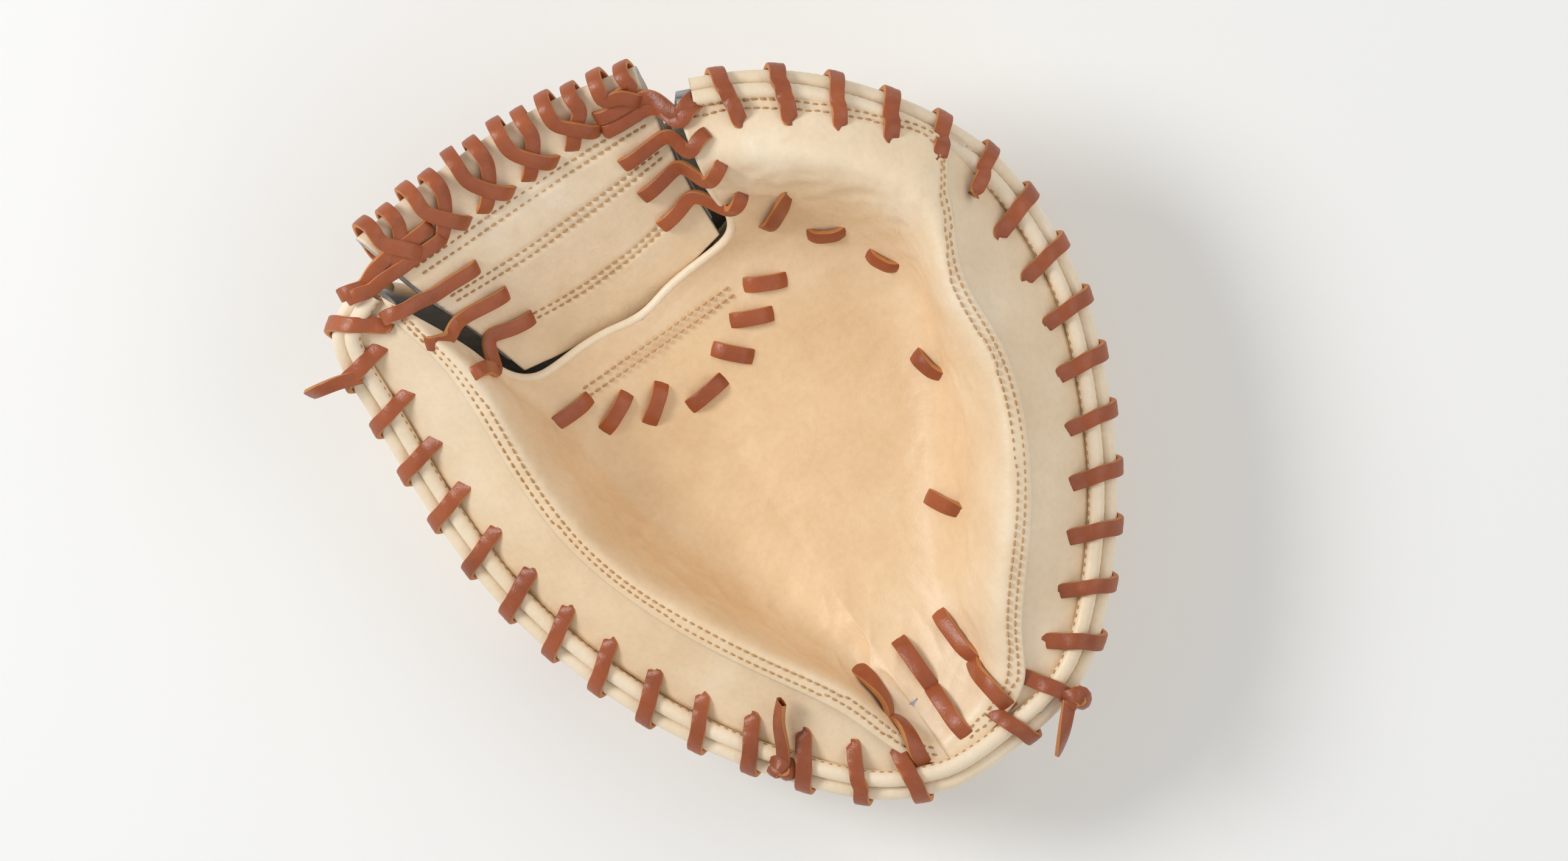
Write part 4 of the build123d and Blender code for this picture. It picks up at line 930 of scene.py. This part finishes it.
# The part of the back grid inside some lines and outside others; corners near a line are moved onto it.
def cutPanel(name, inside, outside, nodes, seed, lift=0.0, thick=shell["backLeather"]):
    grid = backGrid.copy()
    keep, near = np.ones(grid.shape[:2], bool), np.zeros(grid.shape[:2], bool)
    for key, sign in [(k, 1) for k in inside] + [(k, -1) for k in outside]:
        distance, nearest = regions[key]
        close = np.abs(distance) < snapWithin
        grid[..., :2] = np.where(close[..., None], nearest, grid[..., :2])
        keep &= (distance * sign < 0) | close
        near |= close
    grid[..., 2] = np.where(near, onBack(grid[..., :2])[0][..., 2], grid[..., 2])
    normals = gridNormals(backGrid, upward=False)
    plump = np.clip(ripples(grid, 34.0, seed) * 0.35 + 0.1 * ripples(grid, 8.0, seed + 1), -0.6, 0.6)
    plump = plump * np.clip((grid[..., 2] - backFloor) / 6, 0, 1)
    grid = grid + normals * (lift + plump)[..., None]
    grid[..., 2] = np.maximum(grid[..., 2], backFloor - lift)
    faces = gridFaces(*grid.shape[:2])
    faces = faces[keep.ravel()[faces].all(axis=1)]
    used, again = np.unique(faces, return_inverse=True)
    piece = walledPanel(name, grid.reshape(-1, 3)[used], normals.reshape(-1, 3)[used],
                        again.reshape(faces.shape), thick)
    return finishPiece(piece, nodes)


cutPanel("backThumbPanel", [], ["opening", "window", "index", "crescent", "little"],
         ["back_thumb_panel", "back_finger_panel"], 51)
cutPanel("littleFingerFlap", ["little"], ["window", "opening"], ["little_finger_wrist_flap"], 53)
cutPanel("indexPanel", ["index"], ["opening"], ["back_index_panel"], 55, lift=0.4)
cutPanel("webBaseCrescent", ["crescent"], [], both("web_base_crescent"), 57, lift=0.5)
cutPanel("fingerFourchette", ["fourchette"], ["crescent"], ["finger_fourchette"], 59, lift=0.7, thick=1.2)


def backLine(points, lift, closed=False, smooth=True):
    spots, ups = onBack(outlineLine(points, binding["spacing"], closed=closed, smooth=smooth))
    return spots + ups * lift, ups


# An outline drawn towards its middle by a distance.
def inner(points, distance):
    points = np.asarray(points, float)
    return points + unitRows(points.mean(axis=0) - points) * distance


for offset in (3.0, -1.8):
    seam = np.array(outlines["crescent"][1:-1]) + np.array([0, 3.2]) + np.array([0, offset])
    stitchRow("back", *backLine(seam, 0.9))
stitchRow("back", *backLine(inner(outlines["index"], 4.0), 0.9, closed=True, smooth=False))
for distance in (3.0, 5.8):
    stitchRow("back", *backLine(inner(outlines["fourchette"], distance), 1.0, closed=True, smooth=False))

# folded binding round the wrist opening and along both flaps
path, _ = backLine(outlines["opening"], -1.0, closed=True)
rollPiece("openingBinding", [rollTube(np.concatenate([path, path[:2]]), 2.5, 61)], both("opening_binding"))
around = openingLine + 3.6 * unitRows(openingLine - np.array([-14, -72]))
stitchRow("back", *backLine(around, 0.3, closed=True))
rimLine = np.concatenate([thumb.backRoll(np.linspace(0, 1, 60))[:, :2],
                          finger.backRoll(np.linspace(1, 0, 60))[1:, :2]])


# Which points of a path lie inside the rim by a margin.
def withinRim(path, margin):
    return np.flatnonzero(insideDistance(path[:, :2], rimLine)[0] < -margin)


for name, side, node, low in (("thumbFlapBinding", -1, "thumb_flap_binding", 42),
                              ("littleFlapBinding", 1, "little_finger_flap_binding", 36)):
    middle = strap["centre"] + wristAxis * side * (strap["window"] / 2 + 1.0)
    first, last = middle + handAxis * 30, middle - handAxis * low
    line = first + (last - first) * np.linspace(0, 1, 12)[:, None]
    path, up = backLine(line, 0.4)
    rollPiece(name, [rollTube(path[withinRim(path, 5.0)], 2.6, 63)], [node])
    path, up = backLine(line + wristAxis * side * 4.6, 0.3)
    keep = withinRim(path, 7.0)
    stitchRow("back", path[keep], up[keep])

# wrist strap: a padded band that runs under both flaps, bound and stitched along its long edges
across, along = np.linspace(0, 1, 44), np.linspace(-0.5, 0.5, 60)
fine = np.linspace(-0.5, 0.5, 121)


# Plan points of the strap: along the wrist, and across it from the rim's inside edge to the wrist opening.
def strapPlan(across):
    onward = strap["centre"] + wristAxis * (along[:, None, None] * strap["reach"])
    tries = onward + handAxis * (fine[None, :, None] * strap["width"])
    lowest = fine[np.argmax(insideDistance(tries, rimLine)[0] < -6.0, axis=1)]
    place = lowest[:, None] + (0.5 - lowest)[:, None] * across[None]
    return onward + handAxis * (place[..., None] * strap["width"])


spots, outward = onBack(strapPlan(across), 0.0)
crown = 1.4 * (1 - (2 * across - 1) ** 4)[None, :] * (1 - 0.25 * np.cos(along * 20))[:, None]
piece = makeMesh("wristStrap", spots - outward * (strap["depth"] - crown)[..., None], gridFaces(60, 44),
                 [backHide, rawEdge])
thicken(piece, strap["thick"], rim=1)
finishPiece(piece, ["wrist_strap"])
rolls = []
for edge, stitchedAt in ((0.0, 0.09), (1.0, 0.91)):
    spots, normals = backField(strapPlan(np.array([edge]))[:, 0])
    rolls.append(rollTube(evenly((spots + normals * strap["bindingDepth"])[::4], binding["spacing"]), 2.3, 65))
    spots, normals = backField(strapPlan(np.array([stitchedAt]))[:, 0])
    stitchRow("back", spots + normals * strap["stitchDepth"], -normals)
rollPiece("wristStrapBinding", rolls, ["wrist_strap_binding"])

# lace bars of the flaps, the web base and the long roll at the back's web edge
print("back laces")
flapLaces = [("strapLaceThumb", [(-56, -84), (-66, -100), (-76, -63)], "strap_lace_thumb_flap"),
             ("strapLaceLittle", [(-11, -114), (-26, -131)], "strap_lace_little_flap")]
for name, middles, node in flapLaces:
    strips = []
    for number, (x, y) in enumerate(middles):
        spots, ups = hump(x, y, -35 if number < 2 else 75, 14.0, onBack, 2.0)
        spots[:, 2] = np.maximum(spots[:, 2], 1.0)
        strips.append(laceStrip(spots, ups, **thinLace))
    lacePiece(name, strips, [node])
line = evenly(backGrid[0][6:-6][::5], binding["spacing"])
rollPiece("webBaseBinding", [rollTube(line + np.array([0, 1.2, 1.0]), 2.5, 71)], both("web_base_binding"))
strips = []
for share in np.linspace(0.12, 0.88, 8):
    spot = line[int(share * (len(line) - 1))]
    way = unitRows(np.array([spot[0] * 0.006, 1.0]))
    n = backField(np.array([spot[:2] - way * 6]))[1][0]
    points = [spot + np.array([*(-way * 12), 1.6]), spot + np.array([*(-way * 9), 0]) - n * 2.2,
              spot + np.array([*(-way * 4), 0]) - n * 3.6, spot - n * 3.9 + np.array([0, 0.8, 0]),
              spot + np.array([*(way * 3.8), -1.2]), spot + np.array([*(way * 4.2), 2.4])]
    ups = [-n, -n, -n, -n, np.array([*way, -0.6]), np.array([*way, 0.5])]
    strips.append(laceStrip(points, unitRows(np.array(ups, float)), **thinLace))
lacePiece("webBaseLace", strips, both("web_base_lace"))

# the thumb's bare oval patch: a low dome with a stitched cream border
patch = dict(centre=(-81.0, -30.0), length=34.0, width=24.0, turn=20.0, thick=1.2)
angle, ring = np.linspace(0, 2 * np.pi, 72, endpoint=False), np.linspace(0.0, 1.0, 14)[1:]
turnBy = np.radians(patch["turn"])
local = np.stack([np.cos(angle) * patch["length"] / 2, np.sin(angle) * patch["width"] / 2], axis=1)
local = local @ np.array([[np.cos(turnBy), np.sin(turnBy)], [-np.sin(turnBy), np.cos(turnBy)]])
centre, loop = np.array(patch["centre"]), np.concatenate([local, local[:2]])
spots, ups = onBack(centre + ring[:, None, None] * local[None], backFloor + 0.6)
dome = 0.9 + 0.9 * np.sqrt(1 - 0.93 * ring ** 2)[:, None] * np.ones(72)
middle, normal = backField(centre[None])
points = np.concatenate([(spots + ups * dome[..., None]).reshape(-1, 3), middle - normal * 1.8])
tip = np.full(72, len(points) - 1)
fan = np.stack([tip, np.arange(72), np.roll(np.arange(72), -1), tip], axis=1)
faces = np.concatenate([gridFaces(13, 72, wrap=True), fan])
piece = cleanMesh(makeMesh("thumbPatch", points, faces, [patchRed]), outward=False)
finishPiece(thicken(piece, patch["thick"], offset=0), ["thumb_patch"])
spots, ups = onBack(centre + 1.02 * loop, backFloor + 0.5)
rollPiece("thumbPatchBorder", [rollTube(evenly((spots + ups * 0.9)[::2], 1.2), 1.7, 77)])
spots, ups = onBack(centre + 0.84 * loop, backFloor + 0.6)
stitchRow("back", spots + ups * 1.5, ups, pitch=2.6)

# Pads, felts and linings, from the frame's own solids with their edges softened
print("paddings")


# A copy of a solid, remeshed and relaxed so that its edges are round, as cut felt or sewn leather has.
def softCopy(name, node, material, voxel, smoothing=6):
    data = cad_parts[node].data.copy()
    data.name = name
    piece = bpy.data.objects.new(name, data)
    bpy.context.scene.collection.objects.link(piece)
    data.materials.clear()
    data.materials.append(material)
    cleanMesh(piece, outward=False)
    remesh = piece.modifiers.new("remesh", "REMESH")
    remesh.mode, remesh.voxel_size = "VOXEL", voxel / 1000
    relax = piece.modifiers.new("relax", "SMOOTH")
    relax.factor, relax.iterations = 0.5, smoothing
    bpy.context.view_layer.update()
    ready = bpy.data.meshes.new_from_object(piece.evaluated_get(bpy.context.evaluated_depsgraph_get()))
    piece.modifiers.clear()
    piece.data = ready
    ready.materials.clear()
    ready.materials.append(material)
    ready.polygons.foreach_set("material_index", np.zeros(len(ready.polygons), np.int32))
    ready.polygons.foreach_set("use_smooth", np.ones(len(ready.polygons), bool))
    return finishPiece(piece, [node])


for side in ("thumb", "finger"):
    softCopy(f"padFelt_{side}", f"{side}_pad_felt", feltWool, 2.0)
    softCopy(f"pocketFelt_{side}", f"pocket_felt_{side}", feltWool, 1.8)
    softCopy(f"handLining_{side}", f"hand_lining_{side}", liningHide, 0.8, smoothing=2)
    softCopy(f"stallLining_{side}", f"{side}_stall_lining", liningHide, 0.8, smoothing=2)
    softCopy(f"stiffener_{side}", f"{side}_stiffener", stiffenerPlastic, 0.8, smoothing=1)
softCopy("thumbLoop", "thumb_loop", suedeGrey, 0.7, smoothing=2)
softCopy("littleFingerLoop", "little_finger_loop", suedeGrey, 0.7, smoothing=2)

# knots with short tails on the thumb rim and at the heel
print("knots and threads")
tails = dict(thumbRim=([(-54, -118, 66), (-50, -112, 70), (-46, -104, 74), (-40, -97, 80)],
                      [(-.4, 0, 1), (-.4, 0, 1), (-.5, .1, 1), (-.6, .2, 1.0)], 0.5),
             thumbTip=([(-100, 96, 80), (-108, 99, 82), (-116, 101, 80), (-120, 102, 74)],
                       [(-.2, 0, 1), (-.3, 0, 1), (-.7, 0, 1), (-1, 0, .5)], 0.6),
             heel=([(50, -160, 74), (44, -166, 74), (39, -171, 70), (36, -174, 63)],
                   [(0, -.4, 1), (0, -.6, 1), (0, -1, .7), (0, -1, .3)], 0.5))
ends = {name: laceStrip(points, unitRows(np.array(ups)), twist=twist, **tailLace)
        for name, (points, ups, twist) in tails.items()}
thumbKnot = knot((-54, -118, 64), (0.7, -0.6, 0.2), (-0.5, -0.3, 0.8))
lacePiece("thumbKnots", [thumbKnot, ends["thumbRim"], ends["thumbTip"]], [])
lacePiece("heelKnots", [knot((52, -160, 72), (0.9, -0.3, 0), (0, -0.6, 0.8)), ends["heel"]], [])

for group, rows in stitchMeshes.items():
    finishPiece(cleanMesh(makeMesh(f"threads_{group}", *merged(rows), [thread])))
